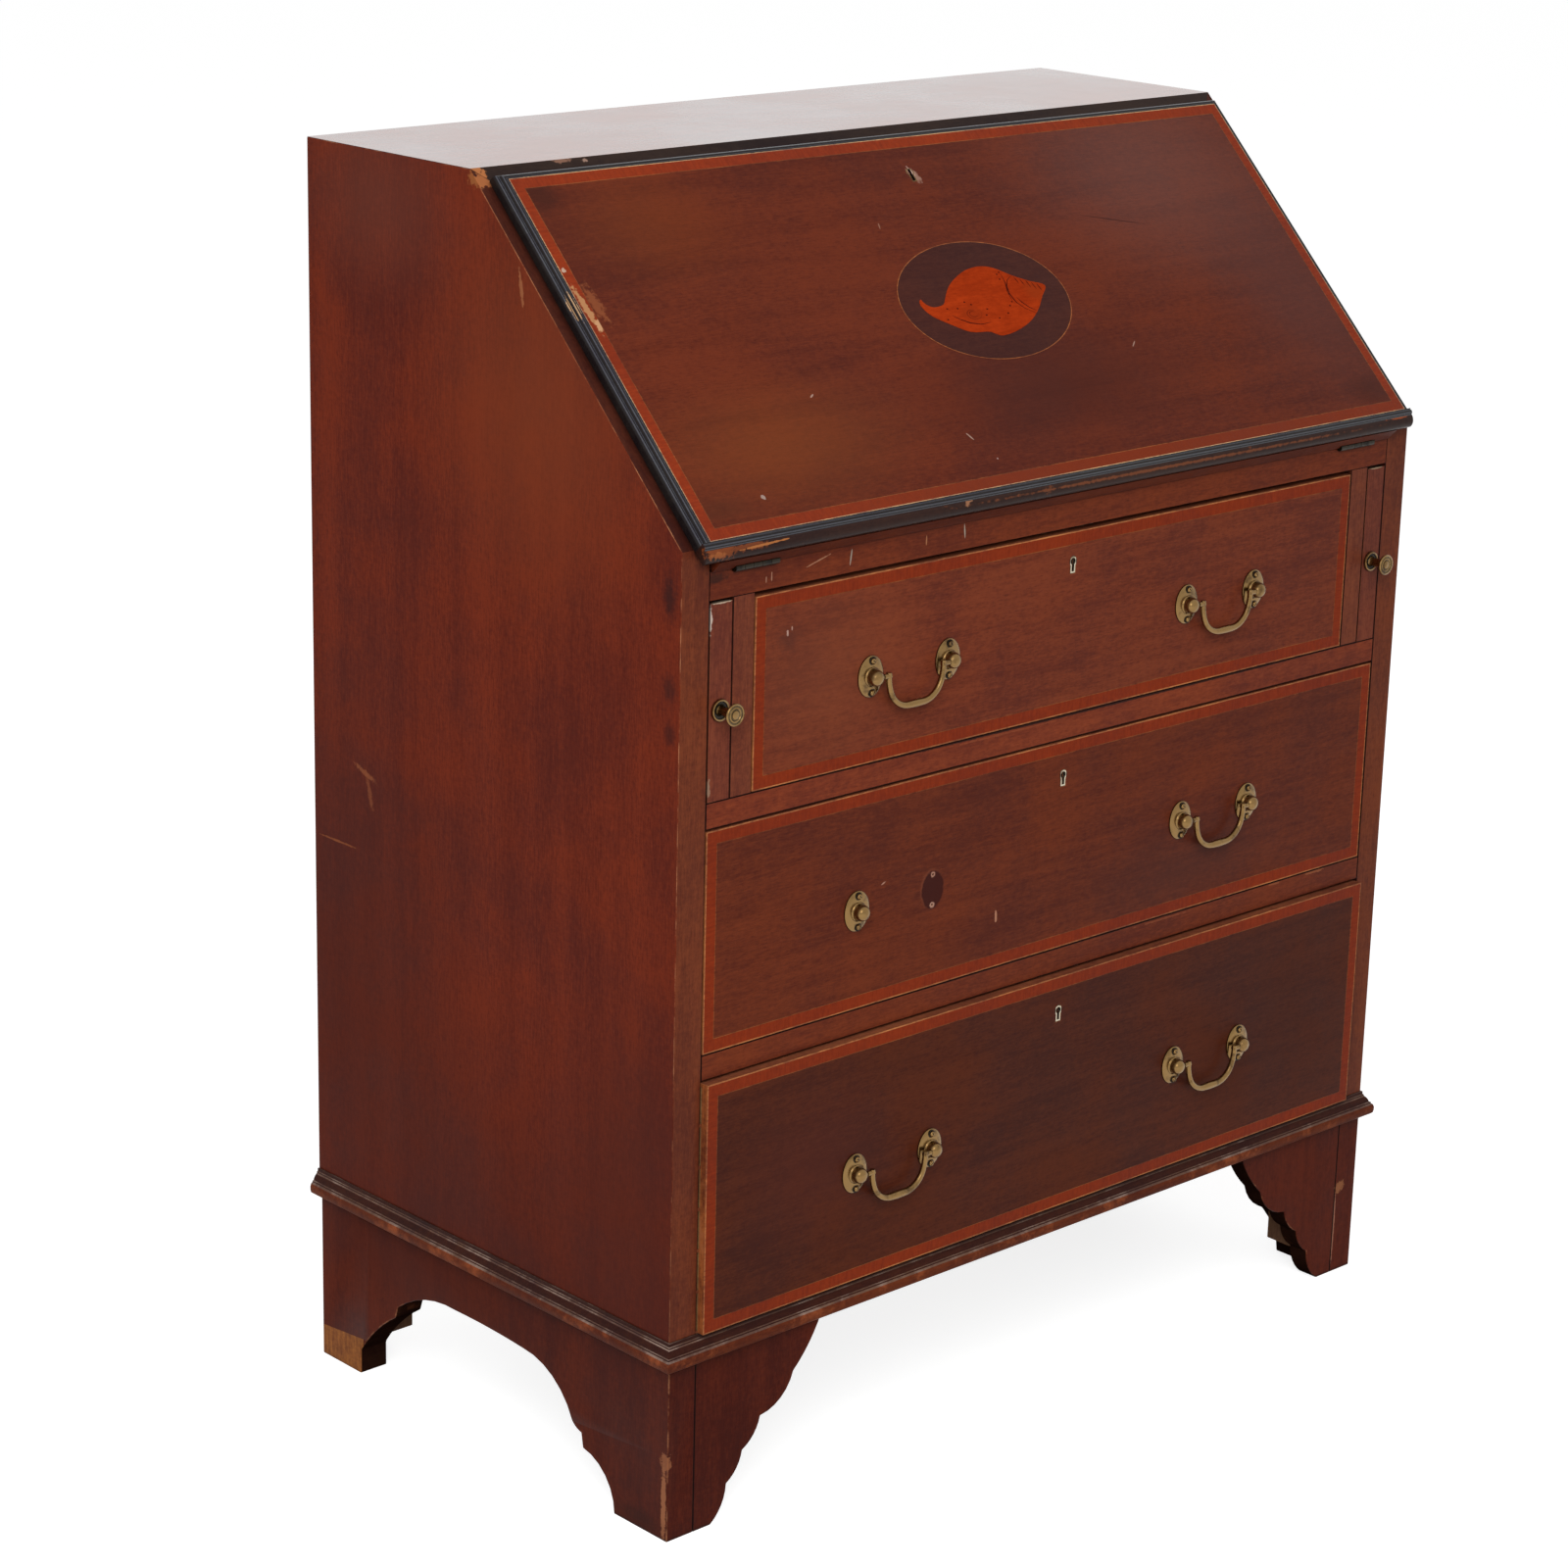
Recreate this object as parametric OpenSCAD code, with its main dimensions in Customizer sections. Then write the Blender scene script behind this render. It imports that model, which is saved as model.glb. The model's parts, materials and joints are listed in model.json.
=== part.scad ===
// Slant-front secretary desk: a case on bracket feet, with three long drawers below and a
// sloping lid above, which folds down on two pull-out slides to make the writing surface.
// Millimetres, +Z up, front towards -Y, origin on the floor under the middle of the desk.

/* [Case] */
// Width over the side boards
body_w = 760; // [700:1:860]
// Depth of the side boards
body_d = 414; // [390:1:460]
// Thickness of the side boards
side_t = 25; // [22:0.5:28]
// Depth of the flat top
top_d = 188; // [170:1:210]
// Thickness of the top board
top_t = 18; // [16:0.5:20]
// Height from the writing bed to the top of the case
desk_h = 243; // [230:1:260]
// Height of the lower end of the slope above the writing bed
corner_up = 17; // [15:0.5:20]
// Thickness of the writing bed
bed_t = 20; // [18:0.5:22]
// Thickness of the bottom board
bottom_t = 19; // [16:0.5:20]
// Thickness of the back boards
back_t = 8; // [6:0.5:9]
// Depth of the rebate that holds the back boards
rebate_d = 10; // [9.5:0.5:14]

/* [Drawers] */
// Height of the opening of the bottom drawer
bottom_open_h = 191; // [170:1:210]
// Height of the opening of the middle drawer
middle_open_h = 164; // [140:1:180]
// Height of the opening of the top drawer and of the slides
top_open_h = 142; // [125:1:160]
// Thickness of the rails between the drawers
rail_t = 19; // [16:0.5:22]
// Depth of the rails from front to back
rail_d = 70; // [50:1:90]
// Thickness of the drawer fronts
front_t = 20; // [18:0.5:24]
// Thickness of the drawer sides and backs
lining_t = 9; // [8:0.5:11]
// Thickness of the drawer bottoms
panel_t = 6; // [4:0.5:7]
// Gap between the drawers and the back boards
back_gap = 14; // [12:1:70]
// Gap at each end of a drawer front
end_gap = 1; // [0.5:0.1:1.5]
// Gap over the top drawer
top_drawer_gap = 3.5; // [2:0.1:5]
// Gap over the middle and the bottom drawer
drawer_gap = 1.5; // [1:0.1:3]
// How far the bottom drawer stands out of the case
proud = 6; // [3:0.5:8]

/* [Slides] */
// Thickness of a slide
loper_w = 19.5; // [17:0.5:22]
// Length of a slide
loper_l = 345; // [330:1:380]
// Thickness of the uprights beside the top drawer
partition_t = 19.5; // [16:0.5:24]
// How far a slide pulls out
loper_travel = 250; // [200:1:260]
// Height of a slide's knob above the rail under it
loper_knob_up = 64.5; // [45:0.5:90]

/* [Lid] */
// Thickness of the lid
lid_t = 22; // [20:0.5:24]
// How far the lid laps over each side board
lid_lap = 15; // [12:0.5:18]
// Width of the top board's sloping edge that shows above the lid
top_show = 12.5; // [8:0.5:14]
// Gap between the lid's lower edge and the bed when it lies open
hinge_gap = 1.5; // [1.2:0.1:2]
// Width of the moulding on the lid's sides and top
bead_w = 6.7; // [5:0.1:9]
// Width of the moulding on the lid's lower edge
nose_w = 11.5; // [8:0.5:12.5]
// Height of the moulding's outer edge above the slope
bead_edge = 5; // [3:0.5:7]
// Distance of each hinge from the middle of the lid
hinge_x = 315; // [290:1:325]
// Length of a hinge
hinge_l = 40; // [32:1:48]
// Width of a hinge leaf
leaf_w = 25; // [20:1:30]
// Thickness of a hinge leaf
leaf_t = 2; // [1.6:0.1:2.4]
// Radius of a hinge knuckle
knuckle_r = 2.5; // [2.2:0.1:3]
// Radius of a hinge pin
hinge_pin_r = 1.2; // [1:0.1:1.4]

/* [Feet] */
// Height of the feet under the base moulding
foot_h = 135.5; // [125:0.5:150]
// Height of the base moulding
mould_h = 20.5; // [20:0.5:26]
// How far the base moulding stands out
mould_out = 8.5; // [7:0.5:11]
// Thickness of the front and rear brackets
bracket_t = 18; // [15:0.5:22]
// How far the front brackets reach in from the case's outer face
bracket_reach = 148; // [140:1:170]
// How far the side brackets stop short of the case's back
bracket_back = 3; // [0:0.5:8]
// Width of the foot at the front of a side bracket
side_foot_w = 58; // [50:1:75]
// Width of the foot at the back of a side bracket
rear_foot_w = 49; // [40:1:60]
// Height of the side bracket's arch
arch_h = 95; // [80:1:105]
// Length of each side curve between a foot and the flat of the arch
arch_run = 105; // [80:1:115]
// Side of the square glue blocks
block_w = 28; // [20:1:28]

/* [Handles] */
// Distance of the top drawer's handles from the middle
top_handle_x = 165; // [120:0.5:220]
// Distance of the lower drawers' handles from the middle
low_handle_x = 171.5; // [120:0.5:250]
// Height of the top drawer's handles above the rail under it
top_handle_up = 64; // [45:0.5:85]
// Height of the middle drawer's handles above the rail under it
middle_handle_up = 75; // [50:0.5:100]
// Height of the bottom drawer's handles above the bottom board
bottom_handle_up = 86; // [50:0.5:120]
// Distance between the two posts of a handle
post_gap = 76.2; // [70:0.1:90]
// Width of an oval plate
plate_w = 24; // [20:0.5:26]
// Height of an oval plate
plate_h = 30; // [28:0.5:36]
// Thickness of an oval plate
plate_t = 3; // [2:0.1:3.2]
// Radius of a post
post_r = 6.1; // [5:0.1:6.4]
// How far a post stands out of the drawer front
post_out = 11; // [11:0.5:14]
// How far the bail's pin stands out of the drawer front
pivot_out = 7.5; // [7.2:0.1:8]
// Radius of the bail's pins
bail_pin_r = 1.5; // [1.2:0.1:1.8]
// Radius of the bail's arms
bail_r = 2.4; // [2:0.1:2.6]
// Radius of the bail's grip
grip_r = 3; // [2.6:0.1:3.1]

/* [Locks] */
// Distance of the top drawer's keyhole below its upper edge
top_key_down = 22.5; // [18:0.5:26]
// Distance of the middle drawer's keyhole below its upper edge
middle_key_down = 26; // [18:0.5:28]
// Distance of the bottom drawer's keyhole below its upper edge
bottom_key_down = 27; // [18:0.5:28]
// Distance of the lid's keyhole below the edge of its inner board
lid_key_down = 25; // [18:0.5:28]
// Width of a lock
lock_w = 60; // [50:1:70]
// Height of a lock
lock_h = 38; // [36:1:44]
// Depth of a lock
lock_t = 11; // [10:0.5:12]
// Width of a lock bolt
bolt_w = 18; // [14:1:22]
// How far a drawer's lock bolt shoots
bolt_throw = 8; // [6:0.5:9]
// How far the lid's lock bolt shoots
lid_bolt_throw = 11; // [8:0.5:12]
// Radius of the round part of a keyhole
key_r = 2.6; // [2:0.1:3]

/* [Fitted interior] */
// Distance of the fittings behind the front edge of the top
fitting_in = 14; // [10:1:40]
// Gap between the fittings and the back boards
fitting_gap = 4; // [1:1:30]
// Thickness of the fittings' boards
fitting_t = 6; // [5:0.5:8]
// Height of the small drawers' openings
small_open_h = 64; // [50:1:80]
// Width of the open space between the small drawers
letter_w = 236; // [180:1:300]
// Height of the valances over the pigeonholes
valance_h = 24; // [16:1:30]

/* [Hidden] */
$fn = 48;

mahogany = "#5a2416";
dark_wood = "#3c1a12";
pale_wood = "#a9744a";
ebonised = "#1d1715";
brass = "#9a8451";
leather = "#2f3a2b";

sliding = 0.3;
running = 0.06;
joint = 0.1;
cut = 1;

// Upright levels, from the floor
half_w = body_w / 2;
in_w = half_w - side_t;
floor_z = foot_h + mould_h;
under_z = floor_z - bottom_t;
rail_low_z = floor_z + bottom_open_h;
middle_z = rail_low_z + rail_t;
rail_up_z = middle_z + middle_open_h;
top_z = rail_up_z + rail_t;
bed_z = top_z + top_open_h;
desk_z = bed_z + bed_t;
slope_z = desk_z + corner_up;
body_h = desk_z + desk_h;
ceil_z = body_h - top_t;
in_d = body_d - rebate_d;
drawer_l = in_d - back_gap;

// The slope, and the lid's place on it: s runs up the slope and h stands out of it
slope_run = body_d - top_d;
slope_rise = body_h - slope_z;
slope_a = atan2(slope_rise, slope_run);
slope_len = norm([slope_run, slope_rise]);
axis_y = -hinge_gap;
axis_s = axis_y * cos(slope_a) - corner_up * sin(slope_a);
axis_h = -axis_y * sin(slope_a) - corner_up * cos(slope_a);
lid_out = axis_h + lid_t;
lid_x = in_w + lid_lap;
lid_top_s = slope_len - top_show;
edge_s = slope_len - top_t / sin(slope_a) - 0.5;
lid_body_x = in_w - 0.5;
fitting_y = slope_run + fitting_in;
fitting_d = in_d - fitting_gap - fitting_y;

// The three long drawers: top, middle, bottom
well_w = loper_w + 2;
TOP = 0;
MIDDLE = 1;
BOTTOM = 2;
half = [in_w - well_w - partition_t, in_w, in_w];
base_z = [top_z, middle_z, floor_z];
open_h = [top_open_h, middle_open_h, bottom_open_h];
over = [top_drawer_gap, drawer_gap, drawer_gap];
stand = [0, 0, proud];
handle_x = [top_handle_x, low_handle_x, low_handle_x];
handle_up = [top_handle_up, middle_handle_up, bottom_handle_up];
key_down = [top_key_down, middle_key_down, bottom_key_down];
lap_t = 6;
panel_up = 8;
panel_in = 4.5;
front_lift = 0.5;
bolt_t = 5;
bolt_l = 26;
bolt_low = 0.5;
bolt_back = 4;
lid_bolt_back = 1.5;
strike_w = 44;
strike_d = 16;
strike_t = 1.5;

// The handles
screw_up = 11.5;
screw_r = 1.25;
screw_head_r = 2;
screw_l = 14;
bail_bend = 35;
bail_bend_a = 20;
bail_round = 19;
bail_x = 27;
bail_ends = [-1, 1];

// How far a loper's knob stands out of the case's front
knob_out = 17;

// The whole desk is centred front to back on its own box
front_reach = max(proud + post_out, knob_out);
mid_y = (body_d - front_reach) / 2;

module in_frame() {
    translate([0, -mid_y, 0]) children();
}

module on_slope() {
    in_frame() translate([0, 0, slope_z]) rotate([slope_a, 0, 0]) children();
}

// A block between two corners
module block(low, high) {
    translate(low) cube(high - low);
}

// A block that is centred on the middle plane
module wide(half_x, low, high) {
    block([-half_x, low[0], low[1]], [half_x, high[0], high[1]]);
}

// A board of a Y-Z outline that grows along +X from x
module board_x(x, t) {
    translate([x, 0, 0]) rotate([90, 0, 90]) linear_extrude(t) children();
}

// A board of an X-Z outline that grows along +Y from y
module board_y(y, t) {
    translate([0, y + t, 0]) rotate([90, 0, 0]) linear_extrude(t) children();
}

module both_sides() {
    children();
    mirror([1, 0, 0]) children();
}

// Points of an arc from p to q, without q, that swells to the right of the way by sag
function swell(p, q, sag, n = 6) = sag == 0 ? [p] :
    let (c = norm(q - p),
         r = (c * c / 4 + sag * sag) / (2 * sag),
         u = (q - p) / c,
         w = [u[1], -u[0]],
         o = (p + q) / 2 - w * (r - sag),
         a = asin(c / 2 / r))
    [for (i = [0 : n - 1]) let (t = a * (2 * i / n - 1)) o + r * (w * cos(t) + u * sin(t))];

// An outline from cusps [x, y, sag], where sag belongs to the stretch that ends there
function outline(cusps) = [for (i = [0 : len(cusps) - 1])
    each swell([cusps[i][0], cusps[i][1]],
               [cusps[(i + 1) % len(cusps)][0], cusps[(i + 1) % len(cusps)][1]],
               cusps[(i + 1) % len(cusps)][2])];

function oval(w, h, n = 32) = [for (i = [0 : n - 1]) [w / 2 * cos(360 * i / n), h / 2 * sin(360 * i / n)]];

// ---- Case ----

module side_board() {
    difference() {
        board_x(in_w, side_t)
            polygon([[0, foot_h], [body_d, foot_h], [body_d, body_h], [slope_run, body_h], [0, slope_z]]);
        board_y(-cut, body_d + 2 * cut)
            polygon([[in_w - cut, ceil_z], [in_w, ceil_z], [half_w, body_h], [half_w, body_h + cut],
                     [in_w - cut, body_h + cut]]);
        block([in_w - cut, in_d, foot_h - cut], [in_w + rebate_d, body_d + cut, ceil_z]);
    }
}

module side_left() {
    color(mahogany) in_frame() mirror([1, 0, 0]) side_board();
}

module side_right() {
    color(mahogany) in_frame() side_board();
}

module lid_mortise() {
    translate([0, 0, slope_z]) rotate([slope_a, 0, 0])
        block([-bolt_w / 2 - 1, edge_s - 8, axis_h + lid_bolt_back - 1],
              [bolt_w / 2 + 1, edge_s + lid_bolt_throw + 1, axis_h + lid_bolt_back + bolt_t + 1]);
}

// The lid's bolt lies at this height over the slope, and its strike is centred where it goes in
lid_bolt_h = axis_h + lid_bolt_back + bolt_t / 2;
lid_bolt_y = (ceil_z - slope_z - lid_bolt_h / cos(slope_a)) / tan(slope_a);
lid_strike_y = lid_bolt_y - strike_d / 2;

module lid_strike() {
    wide(strike_w / 2, [lid_strike_y, ceil_z], [lid_strike_y + strike_d, ceil_z + strike_t]);
}

module top_board() {
    color(dark_wood) in_frame() difference() {
        intersection() {
            board_x(-half_w, body_w)
                polygon([[slope_run - top_t / tan(slope_a), ceil_z], [body_d, ceil_z],
                         [body_d, body_h], [slope_run, body_h]]);
            board_y(0, body_d)
                polygon([[-in_w, ceil_z], [in_w, ceil_z], [half_w, body_h], [-half_w, body_h]]);
        }
        lid_mortise();
        lid_strike();
    }
}

back_n = 4;

module back_boards() {
    w = (2 * (in_w + rebate_d) - 1) / back_n;
    color(pale_wood) in_frame() for (i = [0 : back_n - 1])
        translate([-in_w - rebate_d + 0.5 + i * w, 0, 0])
            block([0, in_d, under_z], [w - 0.4, in_d + back_t, ceil_z]);
}

module leaf_screws_at() {
    for (x = [-1, 0, 1]) translate([x * hinge_l * 0.34, leaf_w * 0.68, 0]) children();
}

leaf_screw_l = 13;
leaf_screw_r = 1.4;
leaf_head_r = 3;
leaf_head_h = 1.6;

// A countersunk screw that stands on its point under z = 0, grown by g
module leaf_screw(g = 0) {
    translate([0, 0, -leaf_screw_l - g]) cylinder(h = leaf_screw_l - leaf_head_h / 4 + g, r = leaf_screw_r + g);
    translate([0, 0, -leaf_head_h])
        cylinder(h = leaf_head_h + (g > 0 ? 0.01 : 0), r1 = leaf_screw_r + g, r2 = leaf_head_r + g);
}

// Room for a hinge leaf, its knuckles and its screws, with the pin along X at the origin
module leaf_room() {
    rotate([0, 90, 0]) translate([0, 0, -hinge_l / 2 - 0.3])
        cylinder(h = hinge_l + 0.6, r = knuckle_r + sliding);
    block([-hinge_l / 2, -cut, -leaf_t], [hinge_l / 2, leaf_w, cut]);
    leaf_screws_at() leaf_screw(0.05);
}

knuckle_n = 5;

// One leaf with the knuckles that start at number first, pin along X at the origin
module leaf(first) {
    step = hinge_l / knuckle_n;
    difference() {
        union() {
            block([-hinge_l / 2, knuckle_r + sliding, -leaf_t], [hinge_l / 2, leaf_w - 0.1, 0]);
            for (i = [first : 2 : knuckle_n - 1]) translate([-hinge_l / 2 + i * step, 0, 0]) {
                rotate([0, 90, 0]) translate([0, 0, 0.15]) cylinder(h = step - 0.3, r = knuckle_r);
                block([0.15, 0, -leaf_t], [step - 0.15, knuckle_r + 1, 0]);
            }
        }
        rotate([0, 90, 0]) translate([0, 0, -hinge_l]) cylinder(h = 2 * hinge_l, r = hinge_pin_r + running);
        leaf_screws_at() leaf_screw(0.05);
    }
    leaf_screws_at() leaf_screw();
}

module at_hinges() {
    for (side = [-1, 1]) translate([side * hinge_x, 0, 0]) children();
}

module strike_cut(i) {
    y = bolt_y(i) - stand[i];
    block([-bolt_w / 2 - 1, y - 1, -cut], [bolt_w / 2 + 1, bolt_y(i) + bolt_t + 1, bolt_throw]);
}

function bolt_y(i) = front_t - bolt_back - bolt_t;

// Room in a board's underside for a lock's strike plate and bolt
module strike_room(i) {
    wide(strike_w / 2, [bolt_y(i) - proud - 2, -cut], [bolt_y(i) + strike_d - proud, strike_t]);
    strike_cut(i);
}

module writing_bed() {
    color(mahogany) in_frame() difference() {
        wide(in_w, [0, bed_z], [in_d, desk_z]);
        translate([0, axis_y, desk_z]) at_hinges() leaf_room();
        translate([0, 0, bed_z]) strike_room(TOP);
    }
}

module rail_upper() {
    color(mahogany) in_frame() difference() {
        wide(in_w, [0, rail_up_z], [rail_d, top_z]);
        translate([0, 0, rail_up_z]) strike_room(MIDDLE);
    }
}

module rail_lower() {
    color(mahogany) in_frame() difference() {
        wide(in_w, [0, rail_low_z], [rail_d, middle_z]);
        translate([0, 0, rail_low_z]) strike_room(BOTTOM);
    }
}

runner_w = 30;

module drawer_runners() {
    color(pale_wood) in_frame() both_sides() {
        block([half[TOP] - runner_w, rail_d, rail_up_z], [in_w, in_d, top_z]);
        block([in_w - runner_w, rail_d, rail_low_z], [in_w, in_d, middle_z]);
    }
}

peg_r = 4;
peg_y = 45;
peg_up = 30;
peg_in = 6;

module at_peg(x) {
    translate([x, peg_y, top_z + peg_up]) rotate([0, 90, 0]) children();
}

module partitions() {
    color(mahogany) in_frame() both_sides() difference() {
        block([half[TOP], 0, top_z], [half[TOP] + partition_t, in_d, bed_z]);
        at_peg(half[TOP] + cut) cylinder(h = partition_t, r = peg_r + running);
    }
}

module slide_stops() {
    color(pale_wood) in_frame() both_sides()
        at_peg(half[TOP] + cut) cylinder(h = partition_t - cut + 1 + peg_in - sliding, r = peg_r);
}

module bottom_board() {
    color(pale_wood) in_frame() wide(in_w, [0, under_z], [in_d, floor_z]);
}

stop_x = 150;
stop_w = 30;
stop_d = 20;
stop_t = 5;

module drawer_stops() {
    color(pale_wood) in_frame() both_sides() for (z = base_z)
        block([stop_x, front_t + 0.3, z], [stop_x + stop_w, front_t + stop_d, z + stop_t]);
}

// Outline of the base moulding: out from the case, up from its lower edge
function mould_outline() = outline([
    [0, 0, 0],
    [mould_out - 3, 1, 0],
    [mould_out, 4.5, 1],
    [mould_out, mould_h - 10, 0],
    [mould_out - 3, mould_h - 7.5, 0.5],
    [0.5, mould_h, -1],
    [0, mould_h, 0]]);

module base_moulding() {
    out_x = half_w + mould_out;
    color(dark_wood) in_frame() {
        intersection() {
            translate([-out_x, 0, foot_h]) mirror([0, 1, 0]) rotate([90, 0, 90])
                linear_extrude(2 * out_x) polygon(mould_outline());
            translate([0, 0, foot_h - cut]) linear_extrude(mould_h + 2 * cut)
                polygon([[joint - half_w, 0], [joint - out_x, -mould_out], [out_x - joint, -mould_out],
                         [half_w - joint, 0]]);
        }
        both_sides() intersection() {
            translate([half_w, body_d, foot_h]) rotate([90, 0, 0])
                linear_extrude(body_d + mould_out) polygon(mould_outline());
            translate([0, 0, foot_h - cut]) linear_extrude(mould_h + 2 * cut)
                polygon([[half_w, 0], [out_x, -mould_out], [out_x, body_d], [half_w, body_d]]);
        }
    }
}

// ---- Feet ----

// The side bracket runs the whole depth: a foot at each end and a flat arch between them
module side_bracket() {
    back = body_d - bracket_back;
    rear = back - rear_foot_w;
    board_x(in_w, side_t) polygon(outline([
        [0, 0, 0],
        [side_foot_w, 0, 0],
        [side_foot_w + arch_run * 0.34, arch_h * 0.41, -10],
        [side_foot_w + arch_run * 0.36, arch_h * 0.53, 0],
        [side_foot_w + arch_run * 0.46, arch_h * 0.59, 1],
        [side_foot_w + arch_run, arch_h * 0.98, -10],
        [rear - arch_run * 1.13, arch_h, -1],
        [rear - arch_run * 0.45, arch_h * 0.76, -7],
        [rear - arch_run * 0.42, arch_h * 0.66, 0],
        [rear, arch_h * 0.21, -3],
        [rear, 0, 0],
        [back, 0, 0],
        [back, foot_h, 0],
        [0, foot_h, 0]]));
}

module bracket_left() {
    color(mahogany) in_frame() mirror([1, 0, 0]) side_bracket();
}

module bracket_right() {
    color(mahogany) in_frame() side_bracket();
}

// Inner outline of a front foot, by distance from the case's outer face, stepped in lobes
module brackets_front() {
    color(mahogany) in_frame() both_sides() translate([half_w, 0, 0]) mirror([1, 0, 0])
        board_y(0, bracket_t) polygon(outline([
            [side_t, 0, 0],
            [42, 0, 0],
            [57, 28, 3.7],
            [72, 50, 3],
            [89, 72, 3.2],
            [121, 98, 6.5],
            [bracket_reach, under_z, 2.5],
            [side_t, under_z, 0]]));
}

module brackets_rear() {
    back = body_d - bracket_back;
    color(pale_wood) in_frame() both_sides() translate([half_w, 0, 0]) mirror([1, 0, 0])
        board_y(back - bracket_t, bracket_t) polygon(outline([
            [side_t, 0, 0],
            [48, 0, 0],
            [64, 40, 0],
            [bracket_reach, under_z, 0],
            [side_t, under_z, 0]]));
}

block_up = 24;

module glue_blocks() {
    back = body_d - bracket_back - bracket_t;
    color(pale_wood) in_frame() both_sides() for (y = [bracket_t, back - block_w])
        block([in_w - block_w, y, block_up], [in_w, y + block_w, under_z]);
}

// ---- Hinges and strikes ----

module bed_hinge_leaves() {
    color(brass) in_frame() translate([0, axis_y, desk_z]) at_hinges() leaf(0);
}

module hinge_pins() {
    color(brass) in_frame() translate([0, axis_y, desk_z]) at_hinges()
        rotate([0, 90, 0]) translate([0, 0, -hinge_l / 2 + 0.3]) cylinder(h = hinge_l - 0.6, r = hinge_pin_r);
}

module lock_strikes() {
    under = [bed_z, rail_up_z, rail_low_z];
    color(brass) in_frame() {
        for (i = [TOP : BOTTOM]) translate([0, 0, under[i]]) difference() {
            wide(strike_w / 2 - 0.1, [bolt_y(i) - proud - 1.9, 0], [bolt_y(i) + strike_d - proud - 0.1, strike_t]);
            strike_cut(i);
        }
        difference() {
            lid_strike();
            lid_mortise();
        }
    }
}

// ---- Fitted interior ----

hole_n = 5;
hole_w = (2 * in_w - (hole_n - 1) * fitting_t) / hole_n;
shelf_z = desk_z + small_open_h;

function hole_x(i) = -in_w + i * (hole_w + fitting_t);

module pigeonhole_shelf() {
    color(pale_wood) in_frame()
        wide(in_w, [fitting_y, shelf_z], [fitting_y + fitting_d, shelf_z + fitting_t]);
}

module pigeonhole_uprights() {
    color(pale_wood) in_frame() {
        for (i = [1 : hole_n - 1])
            block([hole_x(i) - fitting_t, fitting_y, shelf_z + fitting_t],
                  [hole_x(i), fitting_y + fitting_d, ceil_z]);
        both_sides() block([letter_w / 2, fitting_y, desk_z],
                           [letter_w / 2 + fitting_t, fitting_y + fitting_d, shelf_z]);
    }
}

module pigeonhole_valances() {
    color(pale_wood) in_frame() for (i = [0 : hole_n - 1])
        translate([hole_x(i), 0, ceil_z]) board_y(fitting_y + 3, fitting_t) polygon(outline([
            [0, 0, 0],
            [0, -valance_h, 0],
            [hole_w * 0.28, -valance_h * 0.55, -3],
            [hole_w * 0.5, -valance_h * 0.3, -3],
            [hole_w * 0.72, -valance_h * 0.55, -3],
            [hole_w, -valance_h, -3],
            [hole_w, 0, 0]]));
}

small_gap = 0.6;
small_front_t = 8;
small_lining_t = 5;
small_back = 10;

// A small drawer on the right-hand side, with its turned knob
module small_drawer() {
    x0 = letter_w / 2 + fitting_t + small_gap;
    x1 = in_w - small_gap;
    z0 = desk_z + sliding;
    z1 = shelf_z - small_gap;
    y1 = fitting_y + fitting_d - small_back;
    y0 = fitting_y + small_front_t;
    t = small_lining_t;
    knob_x = (x0 + x1) / 2;
    knob_z = (z0 + z1) / 2;
    difference() {
        block([x0, fitting_y, z0], [x1, y0, z1]);
        translate([knob_x, fitting_y, knob_z]) rotate([90, 0, 0]) translate([0, 0, -5.1]) cylinder(h = 6, r = 1.55);
    }
    for (x = [x0, x1 - t]) block([x, y0 + joint, z0], [x + t, y1, z1 - 2]);
    block([x0 + t + joint, y1 - t, z0 + t + joint], [x1 - t - joint, y1, z1 - 4]);
    block([x0 + t + joint, y0 + joint, z0], [x1 - t - joint, y1, z0 + t]);
    color(brass) translate([knob_x, fitting_y, knob_z]) rotate([90, 0, 0])
        rotate_extrude() polygon(outline([
            [0, -5, 0],
            [1.5, -5, 0],
            [1.5, joint, 0],
            [4, joint, 0],
            [2.2, 4, -1],
            [5.5, 8, 1],
            [4, 11.5, 1.2],
            [0, 12.5, 0]]));
}

module inner_drawer_left() {
    color(pale_wood) in_frame() mirror([1, 0, 0]) small_drawer();
}

module inner_drawer_right() {
    color(pale_wood) in_frame() small_drawer();
}

// ---- Lid ----

lip_gap = 0.3;
nose_s = axis_s + nose_w;
bead_x = lid_x - bead_w;
bead_s = lid_top_s - bead_w;
pad_x = 290;
pad_low = 32;
pad_h = 200;
pad_t = 1.2;

// A lock with its front plate's outer face at y = 0 and its top edge at z = 0, going back along +Y
module lock_case(down, back = bolt_back) {
    difference() {
        block([-lock_w / 2, -lock_t, -lock_h], [lock_w / 2, 0, 0]);
        block([-bolt_w / 2 - 0.2, -back - bolt_t - 0.2, -bolt_low - bolt_l - 0.3],
              [bolt_w / 2 + 0.2, -back + 0.2, cut]);
        translate([0, 0, -down]) board_y(-lock_t - cut, lock_t - back + cut) key_shape(0);
    }
}

module lock_bolt(back = bolt_back) {
    block([-bolt_w / 2, -back - bolt_t, -bolt_low - bolt_l], [bolt_w / 2, -back, -bolt_low]);
}

key_slot_w = 2.6;
key_slot_l = 7.5;
liner_w = 1.1;
liner_t = 2;

module key_shape(g) {
    circle(r = key_r + g);
    translate([-key_slot_w / 2 - g, -key_slot_l - g]) square([key_slot_w + 2 * g, key_slot_l + g]);
}

module key_liner() {
    board_y(0, liner_t) difference() {
        key_shape(liner_w);
        key_shape(0);
    }
}

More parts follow.
